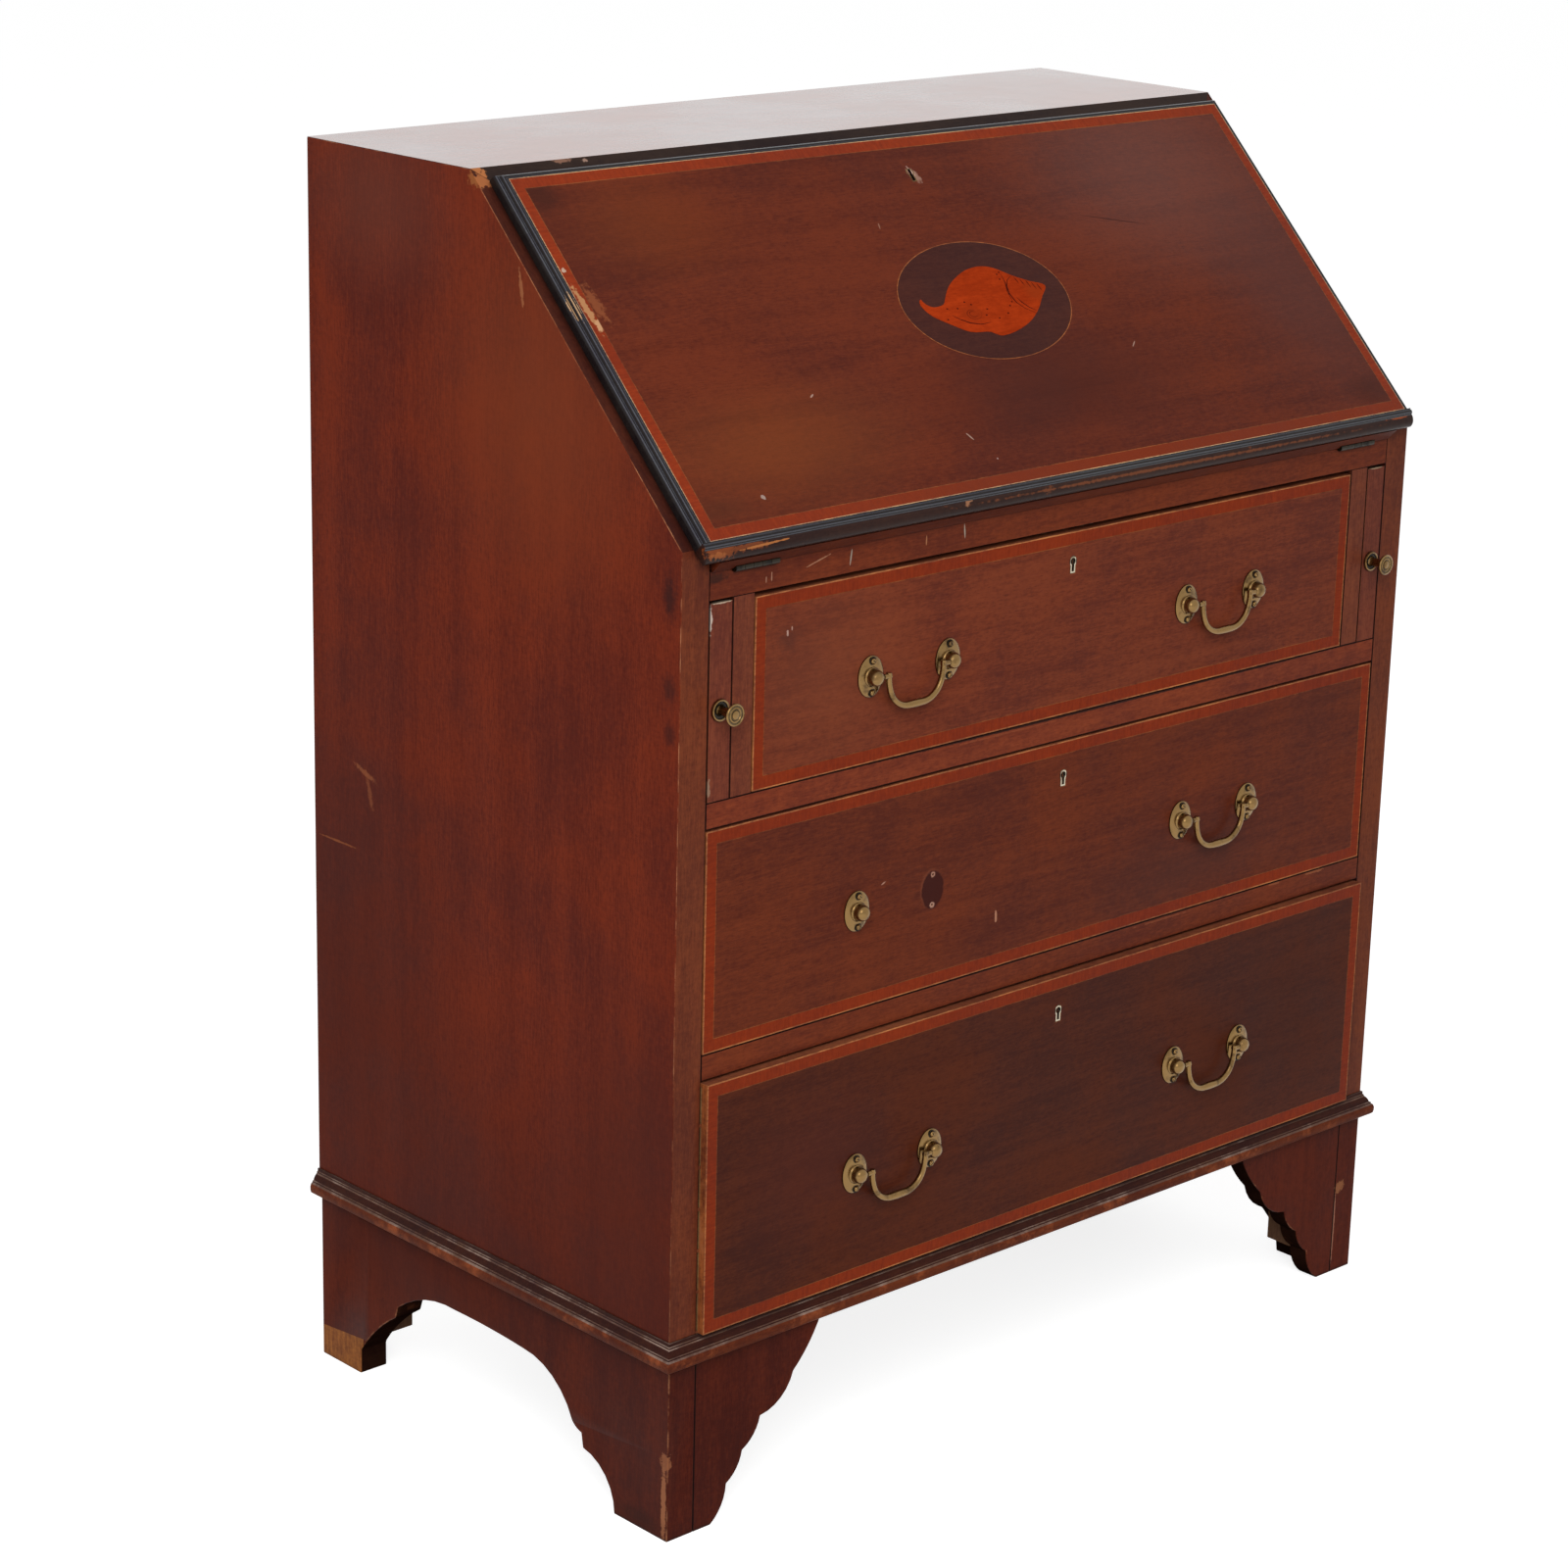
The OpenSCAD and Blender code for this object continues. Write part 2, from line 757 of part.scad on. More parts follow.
// The lid's lock lies with its plate in the inner face and its upper edge on the inner board's
module at_lid_lock() {
    translate([0, edge_s, axis_h]) rotate([-90, 0, 0]) children();
}

module fall_board() {
    color(mahogany) on_slope() difference() {
        union() {
            wide(lid_body_x, [axis_s, axis_h], [edge_s, lip_gap]);
            wide(bead_x, [nose_s, lip_gap], [bead_s, lid_out]);
        }
        translate([0, axis_s, axis_h]) rotate([180, 0, 0]) mirror([0, 1, 0]) at_hinges() leaf_room();
        wide(pad_x, [pad_low, axis_h - cut], [pad_low + pad_h, axis_h + pad_t]);
        wide(lock_w / 2, [edge_s - lock_h, axis_h - cut], [edge_s + cut, axis_h + lock_t]);
        translate([0, edge_s - lid_key_down, axis_h]) {
            linear_extrude(lid_t + cut) key_shape(0);
            translate([0, 0, lid_t - liner_t]) linear_extrude(liner_t + cut) key_shape(liner_w);
        }
    }
}

// Outline of the lid's moulding: in from the outer edge, up from the slope
function bead_outline(w) = outline([
    [0, lip_gap, 0],
    [w, lip_gap, 0],
    [w, lid_out, 0],
    [w * 0.42, (bead_edge + lid_out) / 2 + 0.6, 0.9],
    [w * 0.36, (bead_edge + lid_out) / 2 - 0.6, 0],
    [0, bead_edge, 0.9]]);

// One moulding strip in the lid's plane, cut to its mitred plan
module strip(plan) {
    intersection() {
        children();
        translate([0, 0, -cut]) linear_extrude(lid_t) polygon(plan);
    }
}

module fall_moulding() {
    color(ebonised) on_slope() {
        both_sides() strip([[bead_x, nose_s], [lid_x, axis_s], [lid_x, lid_top_s], [bead_x, bead_s]])
            translate([lid_x, lid_top_s, 0]) mirror([1, 0, 0]) rotate([90, 0, 0])
                linear_extrude(lid_top_s - axis_s) polygon(bead_outline(bead_w));
        strip([[joint - bead_x, bead_s], [joint - lid_x, lid_top_s], [lid_x - joint, lid_top_s],
               [bead_x - joint, bead_s]])
            translate([-lid_x, lid_top_s, 0]) mirror([0, 1, 0]) rotate([90, 0, 90])
                linear_extrude(2 * lid_x) polygon(bead_outline(bead_w));
        strip([[joint - bead_x, nose_s], [joint - lid_x, axis_s], [lid_x - joint, axis_s],
               [bead_x - joint, nose_s]])
            translate([-lid_x, axis_s, 0]) rotate([90, 0, 90])
                linear_extrude(2 * lid_x) polygon(bead_outline(nose_w));
    }
}

module writing_leather() {
    color(leather) on_slope()
        wide(pad_x, [pad_low, axis_h], [pad_low + pad_h, axis_h + pad_t]);
}

module fall_lock() {
    color(brass) on_slope() {
        at_lid_lock() lock_case(lid_key_down, lid_bolt_back);
        translate([0, edge_s - lid_key_down, lid_out - liner_t]) linear_extrude(liner_t) difference() {
            key_shape(liner_w);
            key_shape(0);
        }
    }
}

module fall_lock_bolt() {
    color(brass) on_slope() at_lid_lock() lock_bolt(lid_bolt_back);
}

module fall_hinge_leaves() {
    color(brass) on_slope() translate([0, axis_s, axis_h]) rotate([180, 0, 0]) mirror([0, 1, 0])
        at_hinges() leaf(1);
}

// ---- Slides ----

loper_x = in_w - well_w + (well_w - loper_w) / 2;
loper_top = desk_z - lid_t - sliding;
groove_h = 2 * peg_r + 1;

module slide_board() {
    difference() {
        block([loper_x, 0, top_z + sliding], [loper_x + loper_w, loper_l, loper_top]);
        block([loper_x - cut, peg_y - peg_r - 0.5, top_z + peg_up - groove_h / 2],
              [loper_x + peg_in, peg_y + loper_travel + peg_r + 0.5, top_z + peg_up + groove_h / 2]);
        at_loper_knob() translate([0, 0, -stud_l - 0.2]) cylinder(h = stud_l + 0.2 + cut, r = stud_r + 0.05);
    }
}

stud_r = 2;
stud_l = 14;
flange_r = 7.8;
knob_r = 8.1;
neck_r = 3.8;

module at_loper_knob() {
    translate([loper_x + loper_w / 2, 0, top_z + loper_knob_up]) rotate([90, 0, 0]) children();
}

module turned_knob() {
    rotate_extrude() polygon(outline([
        [0, -stud_l, 0],
        [stud_r, -stud_l, 0],
        [stud_r, 0, 0],
        [flange_r, 0, 0],
        [flange_r - 1, 2.2, 0.6],
        [neck_r, 3, 0],
        [neck_r, knob_out - 7, -0.5],
        [knob_r, knob_out - 5, 0.6],
        [knob_r, knob_out - 2, 0.4],
        [knob_r - 1.5, knob_out - 0.6, 0.3],
        [knob_r - 3.4, knob_out - 1.6, 0],
        [2.6, knob_out - 1.2, 0],
        [0, knob_out, 0.5]]));
}

module loper_left() {
    color(mahogany) in_frame() mirror([1, 0, 0]) slide_board();
}

module loper_right() {
    color(mahogany) in_frame() slide_board();
}

module loper_knob_left() {
    color(brass) in_frame() mirror([1, 0, 0]) at_loper_knob() turned_knob();
}

module loper_knob_right() {
    color(brass) in_frame() at_loper_knob() turned_knob();
}

// ---- Long drawers ----

function front_top(i) = base_z[i] + open_h[i] - over[i];

module drawer_frame(i) {
    in_frame() translate([0, -stand[i], 0]) children();
}

// Every plate of drawer i; the middle drawer has lost the inner one of its left handle
module at_plates(i) {
    for (side = [-1, 1], end = [-1, 1]) if (!(i == MIDDLE && side == -1 && end == 1))
        translate([side * handle_x[i] + end * post_gap / 2, 0, base_z[i] + handle_up[i]])
            mirror([end > 0 ? 1 : 0, 0, 0]) children();
}

module at_screws(i) {
    for (side = [-1, 1], end = [-1, 1], up = [-1, 1])
        translate([side * handle_x[i] + end * post_gap / 2, 0, base_z[i] + handle_up[i] + up * screw_up])
            rotate([90, 0, 0]) children();
}

module drawer_front(i) {
    w = half[i] - end_gap;
    top = front_top(i);
    color(mahogany) drawer_frame(i) difference() {
        wide(w, [0, base_z[i] + front_lift], [front_t, top]);
        both_sides() block([w - lining_t, lap_t, base_z[i]], [w + cut, front_t + cut, top - 3]);
        wide(w - lining_t + panel_in, [front_t - panel_in, base_z[i] + panel_up - 0.1],
             [front_t + cut, base_z[i] + panel_up + panel_t + 0.1]);
        translate([0, front_t, top]) block([-lock_w / 2, -lock_t, -lock_h], [lock_w / 2, cut, cut]);
        translate([0, 0, top - key_down[i]]) {
            board_y(-cut, front_t) key_shape(0);
            board_y(-cut, liner_t + cut) key_shape(liner_w);
        }
        at_screws(i) translate([0, 0, -screw_l]) cylinder(h = screw_l + cut, r = screw_r + 0.05);
    }
}

// Two grooved sides, and the back that stands on the bottom panel between them
module drawer_sides(i) {
    w = half[i] - end_gap;
    low = base_z[i] + sliding;
    high = front_top(i) - 3.2;
    color(pale_wood) drawer_frame(i) {
        both_sides() difference() {
            block([w - lining_t, lap_t, low], [w, drawer_l, high]);
            block([w - lining_t - cut, lap_t - cut, base_z[i] + panel_up - 0.1],
                  [w - lining_t + panel_in, drawer_l + cut, base_z[i] + panel_up + panel_t + 0.1]);
        }
        wide(w - lining_t - joint, [drawer_l - lining_t - 6, base_z[i] + panel_up + panel_t + joint],
             [drawer_l - 6, high - 6]);
    }
}

module drawer_bottom(i) {
    w = half[i] - end_gap - lining_t + panel_in - 0.2;
    color(pale_wood) drawer_frame(i)
        wide(w, [front_t - panel_in + 0.2, base_z[i] + panel_up], [drawer_l, base_z[i] + panel_up + panel_t]);
}

module drawer_lock(i) {
    color(brass) drawer_frame(i) {
        translate([0, front_t, front_top(i)]) lock_case(key_down[i]);
        translate([0, 0, front_top(i) - key_down[i]]) key_liner();
    }
}

module drawer_lock_bolt(i) {
    color(brass) drawer_frame(i) translate([0, front_t, front_top(i)]) lock_bolt();
}

// An oval plate with its post; the post's inner side, towards +X, holds the bail's pin
module plate() {
    bevel = 1.2;
    difference() {
        union() {
            board_y(-plate_t + bevel, plate_t - bevel) polygon(oval(plate_w, plate_h));
            board_y(-plate_t, plate_t) polygon(oval(plate_w - 2 * bevel, plate_h - 2 * bevel));
            rotate([90, 0, 0]) rotate_extrude() polygon(outline([
                [0, 1, 0],
                [post_r + 1.2, 1, 0],
                [post_r + 1.2, plate_t + 1, 0],
                [post_r, plate_t + 1.8, -0.3],
                [post_r, post_out - 1.6, 0],
                [post_r - 1.6, post_out, 0.5],
                [0, post_out, 0]]));
        }
        translate([0, -pivot_out, 0]) rotate([0, 90, 0]) cylinder(h = post_r + 2, r = bail_pin_r + running);
        for (up = [-1, 1]) translate([0, 0, up * screw_up]) rotate([90, 0, 0])
            translate([0, 0, -cut]) cylinder(h = plate_t + 2 * cut, r = screw_r + 0.05);
    }
}

module drawer_plates(i) {
    color(brass) drawer_frame(i) {
        at_plates(i) plate();
        at_plates(i) for (up = [-1, 1]) translate([0, 0, up * screw_up]) rotate([90, 0, 0]) {
            translate([0, 0, -screw_l + 1]) cylinder(h = screw_l - 1 + plate_t + joint, r = screw_r);
            translate([0, 0, plate_t + joint]) cylinder(h = 1.2, r1 = screw_head_r, r2 = screw_head_r * 0.6);
        }
    }
}

module top_drawer_front() {
    drawer_front(TOP);
}

module top_drawer_sides() {
    drawer_sides(TOP);
}

module top_drawer_bottom() {
    drawer_bottom(TOP);
}

module top_drawer_lock() {
    drawer_lock(TOP);
}

module top_lock_bolt() {
    drawer_lock_bolt(TOP);
}

module top_drawer_plates() {
    drawer_plates(TOP);
}

module middle_drawer_front() {
    drawer_front(MIDDLE);
}

module middle_drawer_sides() {
    drawer_sides(MIDDLE);
}

module middle_drawer_bottom() {
    drawer_bottom(MIDDLE);
}

module middle_drawer_lock() {
    drawer_lock(MIDDLE);
}

module middle_lock_bolt() {
    drawer_lock_bolt(MIDDLE);
}

module middle_drawer_plates() {
    drawer_plates(MIDDLE);
}

module bottom_drawer_front() {
    drawer_front(BOTTOM);
}

module bottom_drawer_sides() {
    drawer_sides(BOTTOM);
}

module bottom_drawer_bottom() {
    drawer_bottom(BOTTOM);
}

module bottom_drawer_lock() {
    drawer_lock(BOTTOM);
}

module bottom_lock_bolt() {
    drawer_lock_bolt(BOTTOM);
}

module bottom_drawer_plates() {
    drawer_plates(BOTTOM);
}

// ---- Bails ----

// A bent rod in the X-Z plane: radius r, bend radius bend about centre, from angle a0 to a1
module bent(centre, bend, a0, a1, r) {
    translate([centre[0], 0, centre[1]]) rotate([90, 0, 0]) rotate([0, 0, a0])
        rotate_extrude(angle = a1 - a0) translate([bend, 0]) circle(r = r);
}

// A swan-neck bail about its pins' axis, which runs along X through the origin
module bail() {
    shift_x = bail_x - bail_bend;
    turn = [shift_x + (bail_bend - bail_round) * cos(bail_bend_a), -(bail_bend - bail_round) * sin(bail_bend_a)];
    both_sides() {
        bent([shift_x, 0], bail_bend, -bail_bend_a, 0, bail_r);
        bent(turn, bail_round, -90, -bail_bend_a, bail_r);
        rotate([0, 90, 0]) rotate_extrude() polygon([
            [0, bail_x - bail_r - 0.5],
            [bail_r + 0.3, bail_x - bail_r - 0.5],
            [bail_r + 0.3, bail_x + bail_r + 0.5],
            [bail_pin_r + 0.5, bail_x + bail_r + 0.5],
            [bail_pin_r + 0.5, post_gap / 2 - post_r - 0.3],
            [bail_pin_r, post_gap / 2 - post_r - 0.3],
            [bail_pin_r, post_gap / 2 - 0.8],
            [0, post_gap / 2 - 0.8]]);
    }
    translate([-turn[0] - 4, 0, turn[1] - bail_round]) rotate([0, 90, 0])
        cylinder(h = 2 * turn[0] + 8, r = grip_r);
}

module bail_at(i, side) {
    color(brass) drawer_frame(i)
        translate([side * handle_x[i], -pivot_out, base_z[i] + handle_up[i]]) bail();
}

module top_bail_left() {
    bail_at(TOP, -1);
}

module top_bail_right() {
    bail_at(TOP, 1);
}

module middle_bail_right() {
    bail_at(MIDDLE, 1);
}

module bottom_bail_left() {
    bail_at(BOTTOM, -1);
}

module bottom_bail_right() {
    bail_at(BOTTOM, 1);
}

side_left();
side_right();
top_board();
back_boards();
writing_bed();
rail_upper();
rail_lower();
drawer_runners();
partitions();
bottom_board();
drawer_stops();
base_moulding();
bracket_left();
bracket_right();
brackets_front();
brackets_rear();
glue_blocks();
bed_hinge_leaves();
hinge_pins();
lock_strikes();
pigeonhole_shelf();
pigeonhole_uprights();
pigeonhole_valances();
slide_stops();
fall_board();
fall_moulding();
writing_leather();
fall_lock();
fall_lock_bolt();
fall_hinge_leaves();
loper_left();
loper_right();
loper_knob_left();
loper_knob_right();
top_drawer_front();
top_drawer_sides();
top_drawer_bottom();
top_drawer_lock();
top_lock_bolt();
top_drawer_plates();
middle_drawer_front();
middle_drawer_sides();
middle_drawer_bottom();
middle_drawer_lock();
middle_lock_bolt();
middle_drawer_plates();
bottom_drawer_front();
bottom_drawer_sides();
bottom_drawer_bottom();
bottom_drawer_lock();
bottom_lock_bolt();
bottom_drawer_plates();
top_bail_left();
top_bail_right();
middle_bail_right();
bottom_bail_left();
bottom_bail_right();
inner_drawer_left();
inner_drawer_right();
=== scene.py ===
"""The slant-front desk as it looks: veneered and crossbanded mahogany, a shell inlay, aged brass
handles and a fitted interior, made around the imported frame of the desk.

Lengths are written in millimetres and turned to metres by mm(). Up is +Z and the front faces -Y.
Lid pieces are shaped flat, with x along the desk, s up the slope as y and h out of the slope as
z, and are then laid on the slope.
"""
import json
import logging
import math
from contextlib import contextmanager
from dataclasses import dataclass, replace
from enum import Enum
from functools import cache
from typing import Any, Callable, Iterator, Sequence, Union

import bmesh
import bpy
from mathutils import Matrix, Vector


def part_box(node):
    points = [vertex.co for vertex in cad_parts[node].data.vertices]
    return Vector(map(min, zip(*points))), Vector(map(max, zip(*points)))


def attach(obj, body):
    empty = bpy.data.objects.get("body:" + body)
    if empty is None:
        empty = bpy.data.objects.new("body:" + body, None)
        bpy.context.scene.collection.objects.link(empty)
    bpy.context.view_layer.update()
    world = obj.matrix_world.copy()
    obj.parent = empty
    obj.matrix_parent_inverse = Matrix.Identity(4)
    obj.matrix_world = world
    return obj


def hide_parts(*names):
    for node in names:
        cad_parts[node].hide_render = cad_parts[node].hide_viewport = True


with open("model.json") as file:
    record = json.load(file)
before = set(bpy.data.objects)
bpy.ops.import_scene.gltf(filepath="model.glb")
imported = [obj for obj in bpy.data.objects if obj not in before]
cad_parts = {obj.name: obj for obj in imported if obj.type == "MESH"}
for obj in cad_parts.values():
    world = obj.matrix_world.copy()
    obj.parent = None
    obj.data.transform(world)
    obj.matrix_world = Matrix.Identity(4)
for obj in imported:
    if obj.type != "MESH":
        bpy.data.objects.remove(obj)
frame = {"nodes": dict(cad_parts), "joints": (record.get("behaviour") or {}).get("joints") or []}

MM = 0.001
log = logging.getLogger("desk")

FaceTest = Callable[[Vector, Vector], bool]
Point2 = tuple[float, float]
Point3 = tuple[float, float, float]
Tree = bpy.types.NodeTree
Node = bpy.types.Node
Source = Union[bpy.types.Node, bpy.types.NodeSocket]

SMOOTH = {"interpolation_type": "SMOOTHSTEP"}


def mm(*values: float) -> Vector:
    """The point or offset of these millimetres, in metres."""
    return Vector([value * MM for value in values])


# ---------------------------------------------------------------- finishes


class Grain(Enum):
    """The way that a wood's grain runs: the turn that brings the X axis along it, in degrees."""

    ACROSS = (0, 0, 0)
    DEEP = (0, 0, 90)
    UPRIGHT = (0, -90, 0)
    UP_SLOPE = (0, -45, 90)


def linear(code: str) -> tuple[float, float, float, float]:
    """The linear colour of an sRGB hex code.

    Args:
        code: Six hex digits after a #.

    Returns:
        Red, green, blue and an alpha of 1.
    """
    values = [int(code[i:i + 2], 16) / 255 for i in (1, 3, 5)]
    return (*[v / 12.92 if v <= 0.04045 else ((v + 0.055) / 1.055) ** 2.4 for v in values], 1.0)


def feed(tree: Tree, node: Node, inputs: dict[str | int, Any]) -> Node:
    """Gives a node's inputs what goes into them.

    Args:
        tree: The node tree that holds the node.
        node: The node.
        inputs: By an input's name or number, a value, an output socket, or a node for its first
            output that is in use.

    Returns:
        The node.
    """
    for key, value in inputs.items():
        if isinstance(value, Node):
            value = next(socket for socket in value.outputs if socket.enabled)
        if isinstance(value, bpy.types.NodeSocket):
            tree.links.new(value, node.inputs[key])
        else:
            node.inputs[key].default_value = value
    return node


def add(tree: Tree, kind: str, inputs: dict[str | int, Any], **settings: Any) -> Node:
    """Adds a node with its settings and what goes into it.

    Args:
        tree: The node tree of a material or world.
        kind: The node's type name after ShaderNode.
        inputs: What goes into it, as for feed.
        settings: Properties of the node.

    Returns:
        The new node.
    """
    node = tree.nodes.new("ShaderNode" + kind)
    for name, value in settings.items():
        setattr(node, name, value)
    return feed(tree, node, inputs)


def placed(tree: Tree, size: Sequence[float], turn: Sequence[float] = (0, 0, 0),
           centre: Sequence[float] = (0, 0, 0)) -> Node:
    """Object coordinates in units of a pattern's own size, about its centre.

    Args:
        tree: The material's node tree.
        size: Millimetres of one unit along each of the pattern's axes.
        turn: Degrees that turn the desk's axes to the pattern's.
        centre: The pattern's centre in millimetres.

    Returns:
        The node that gives the point.
    """
    where = add(tree, "TexCoord", {}).outputs["Object"]
    return add(tree, "Mapping", {"Vector": where, "Location": mm(*centre), "Scale": mm(*size),
                                 "Rotation": [math.radians(a) for a in turn]}, vector_type="TEXTURE")


def started(name: str) -> tuple[bpy.types.Material, Tree, Node]:
    """A new material.

    Args:
        name: Its name.

    Returns:
        The material, its tree and its surface shader.
    """
    material = bpy.data.materials.new(name)
    material.use_nodes = True
    tree = material.node_tree
    return material, tree, tree.nodes["Principled BSDF"]


def corner_shade_and_grime(tree: Tree, colour: Source, amount: float, reach: float = 6.0,
           corner_colour: str = "#160b08") -> Node:
    """The colour darkened in corners and seams by ambient occlusion: painted shade with grimy polish on wood,
    tarnish in the hollows of brass.

    Args:
        tree: The material's node tree.
        colour: The clean colour.
        amount: How much of the corner colour covers a deep corner.
        reach: How close another surface is where the colour darkens, in millimetres.
        corner_colour: The colour of a deep corner.

    Returns:
        The node that gives the colour.
    """
    openness = add(tree, "AmbientOcclusion", {"Distance": reach * MM}, samples=8).outputs["AO"]
    share = add(tree, "MapRange", {0: openness, 1: 0.35, 2: 0.95, 3: amount, 4: 0.0}, **SMOOTH)
    return add(tree, "Mix", {0: share, 6: colour, 7: linear(corner_colour)}, data_type="RGBA")


@dataclass(frozen=True)
class Mark:
    """A stain, bruise, scratch, bare patch or soft patch of painted light and shade, as a soft ellipsoid that
    tints what lies in it.

    Attributes:
        at: Its centre in millimetres.
        reach: Its half sizes in millimetres.
        tint: Its colour.
        turn: Degrees that turn the desk's axes to its own.
        amount: How strongly it covers.
        ragged: How far noise breaks its outline, as a share of its size.
        soft: The share of its size over which it fades out.
    """

    at: Point3
    reach: Point3
    tint: str
    turn: Point3 = (0, 0, 0)
    amount: float = 1.0
    ragged: float = 0.5
    soft: float = 0.25

    def over(self, tree: Tree, colour: Source, rough: Source) -> Node:
        """The colour with this mark on it.

        Args:
            tree: The material's node tree.
            colour: The colour under the mark.
            rough: The noise that breaks its outline.

        Returns:
            The node that gives the colour.
        """
        far = add(tree, "VectorMath", {0: placed(tree, self.reach, self.turn, self.at)}, operation="LENGTH")
        broken = add(tree, "Math", {0: rough, 1: self.ragged * 2, 2: far}, operation="MULTIPLY_ADD")
        edge = 1 + self.ragged
        inside = add(tree, "MapRange", {0: broken, 1: edge - self.soft, 2: edge, 3: self.amount, 4: 0.0},
                     **SMOOTH)
        return add(tree, "Mix", {0: inside, 6: colour, 7: linear(self.tint)}, data_type="RGBA")


@dataclass(frozen=True)
class Wood:
    """A planed and polished wood, with its figure, pores, wear and polish.

    Open-pored mahogany under old French polish shows long soft streaks, short dark pores along
    the grain, cloudy polish, rubbed arrises, and corners darkened by painted shade with grimy polish.

    Attributes:
        name: What the wood is.
        tone: Its middle colour.
        contrast: How far its streaks go lighter and darker than that.
        grain: The way of the grain.
        streak: Width of a streak in millimetres.
        length: Length of a streak in millimetres.
        cloud: Size of the clouds in the polish in millimetres.
        pores: Strength of the dark pores.
        gloss: Roughness of the wood under the polish.
        polish: Weight of the clear polish on top.
        polish_gloss: Roughness of that polish.
        shine: Specular level of the wood.
        rub: Tint of rubbed places.
        rubbed: How much of the surface is rubbed.
        dust: Share of the surface's squares that hold a pale speck.
        grime: How dark corners and seams are made, as painted shade with grimy polish.
        marks: Stains and bruises, and soft patches of painted light and shade.
    """

    name: str
    tone: str
    contrast: float = 1.0
    grain: Grain = Grain.ACROSS
    streak: float = 9.0
    length: float = 150.0
    cloud: float = 110.0
    pores: float = 0.35
    gloss: float = 0.42
    polish: float = 0.03
    polish_gloss: float = 0.25
    shine: float = 0.05
    rub: str = "#8a4a2c"
    rubbed: float = 0.0
    dust: float = 0.0
    grime: float = 0.0
    marks: tuple[Mark, ...] = ()

    def along(self, tree: Tree, length: float, width: float) -> Node:
        """The point in streaks of this length and width."""
        return placed(tree, (length, width, width), self.grain.value)

    def lit(self, share: float) -> tuple[float, ...]:
        """The middle colour taken lighter or darker, the light side warmer.

        Args:
            share: How far, from -1 for the darkest streaks to 1 for the lightest.

        Returns:
            The linear colour.
        """
        red, green, blue, _ = linear(self.tone)
        step = share * self.contrast
        return red * 1.42 ** step, green * 1.52 ** step, blue * 1.32 ** step, 1.0

    def colour(self, tree: Tree, streaks: Source, clouds: Source, pores: Source) -> Node:
        """The colour of the wood with its pores, rubbed places, marks and specks.

        Args:
            tree: The material's node tree.
            streaks: The figure.
            clouds: The clouds in the polish.
            pores: The pores.

        Returns:
            The node that gives the colour.
        """
        mottle = add(tree, "TexNoise", {"Vector": placed(tree, (5, 5, 3.5)), "Scale": 1.0,
                                        "Detail": 3.0, "Roughness": 0.75})
        tone = add(tree, "Math", {0: mottle, 1: 0.22}, operation="MULTIPLY")
        for part, share in ((streaks, 0.42), (clouds, 0.36)):
            tone = add(tree, "Math", {0: part, 1: share, 2: tone}, operation="MULTIPLY_ADD")
        light = add(tree, "MapRange", {0: tone, 1: 0.37, 2: 0.63}, **SMOOTH)
        colour = add(tree, "Mix", {0: light, 6: self.lit(-1.0), 7: self.lit(1.0)}, data_type="RGBA")
        shade = add(tree, "Math", {0: pores, 1: self.pores}, operation="MULTIPLY")
        colour = add(tree, "Mix", {0: shade, 6: colour, 7: self.lit(-3.0)}, data_type="RGBA")
        if self.rubbed:
            patches = add(tree, "TexNoise", {"Vector": placed(tree, (30, 30, 30)), "Scale": 1.0,
                                             "Detail": 7.0, "Roughness": 0.72})
            bare = 0.64 - 0.34 * self.rubbed
            worn = add(tree, "MapRange", {0: patches, 1: bare, 2: bare + 0.2}, **SMOOTH)
            colour = add(tree, "Mix", {0: worn, 6: colour, 7: linear(self.rub)}, data_type="RGBA")
        rough = add(tree, "TexNoise", {"Vector": placed(tree, (4, 4, 4)), "Scale": 1.0, "Detail": 4.0,
                                       "Roughness": 0.65})
        for mark in self.marks:
            colour = mark.over(tree, colour, rough)
        if self.dust:
            colour = self.specked(tree, colour)
        # corners and seams are darkened by ambient occlusion: painted shade, with grimy polish
        return corner_shade_and_grime(tree, colour, self.grime) if self.grime else colour

    def specked(self, tree: Tree, colour: Source, square: float = 24) -> Node:
        """The colour with a pale speck in some of its squares.

        Args:
            tree: The material's node tree.
            colour: The colour without specks.
            square: Size of a square in millimetres.

        Returns:
            The node that gives the colour.
        """
        cells = add(tree, "TexVoronoi", {"Vector": placed(tree, (square,) * 3), "Scale": 1.0})
        chosen = add(tree, "MapRange", {0: cells.outputs["Color"], 1: 1.0 - self.dust, 2: 1.02 - self.dust},
                     **SMOOTH)
        close = add(tree, "MapRange", {0: cells.outputs["Distance"], 1: 0.022, 2: 0.045, 3: 1.0, 4: 0.0},
                    **SMOOTH)
        share = add(tree, "Math", {0: chosen, 1: close}, operation="MULTIPLY")
        return add(tree, "Mix", {0: share, 6: colour, 7: linear("#b9a097")}, data_type="RGBA")

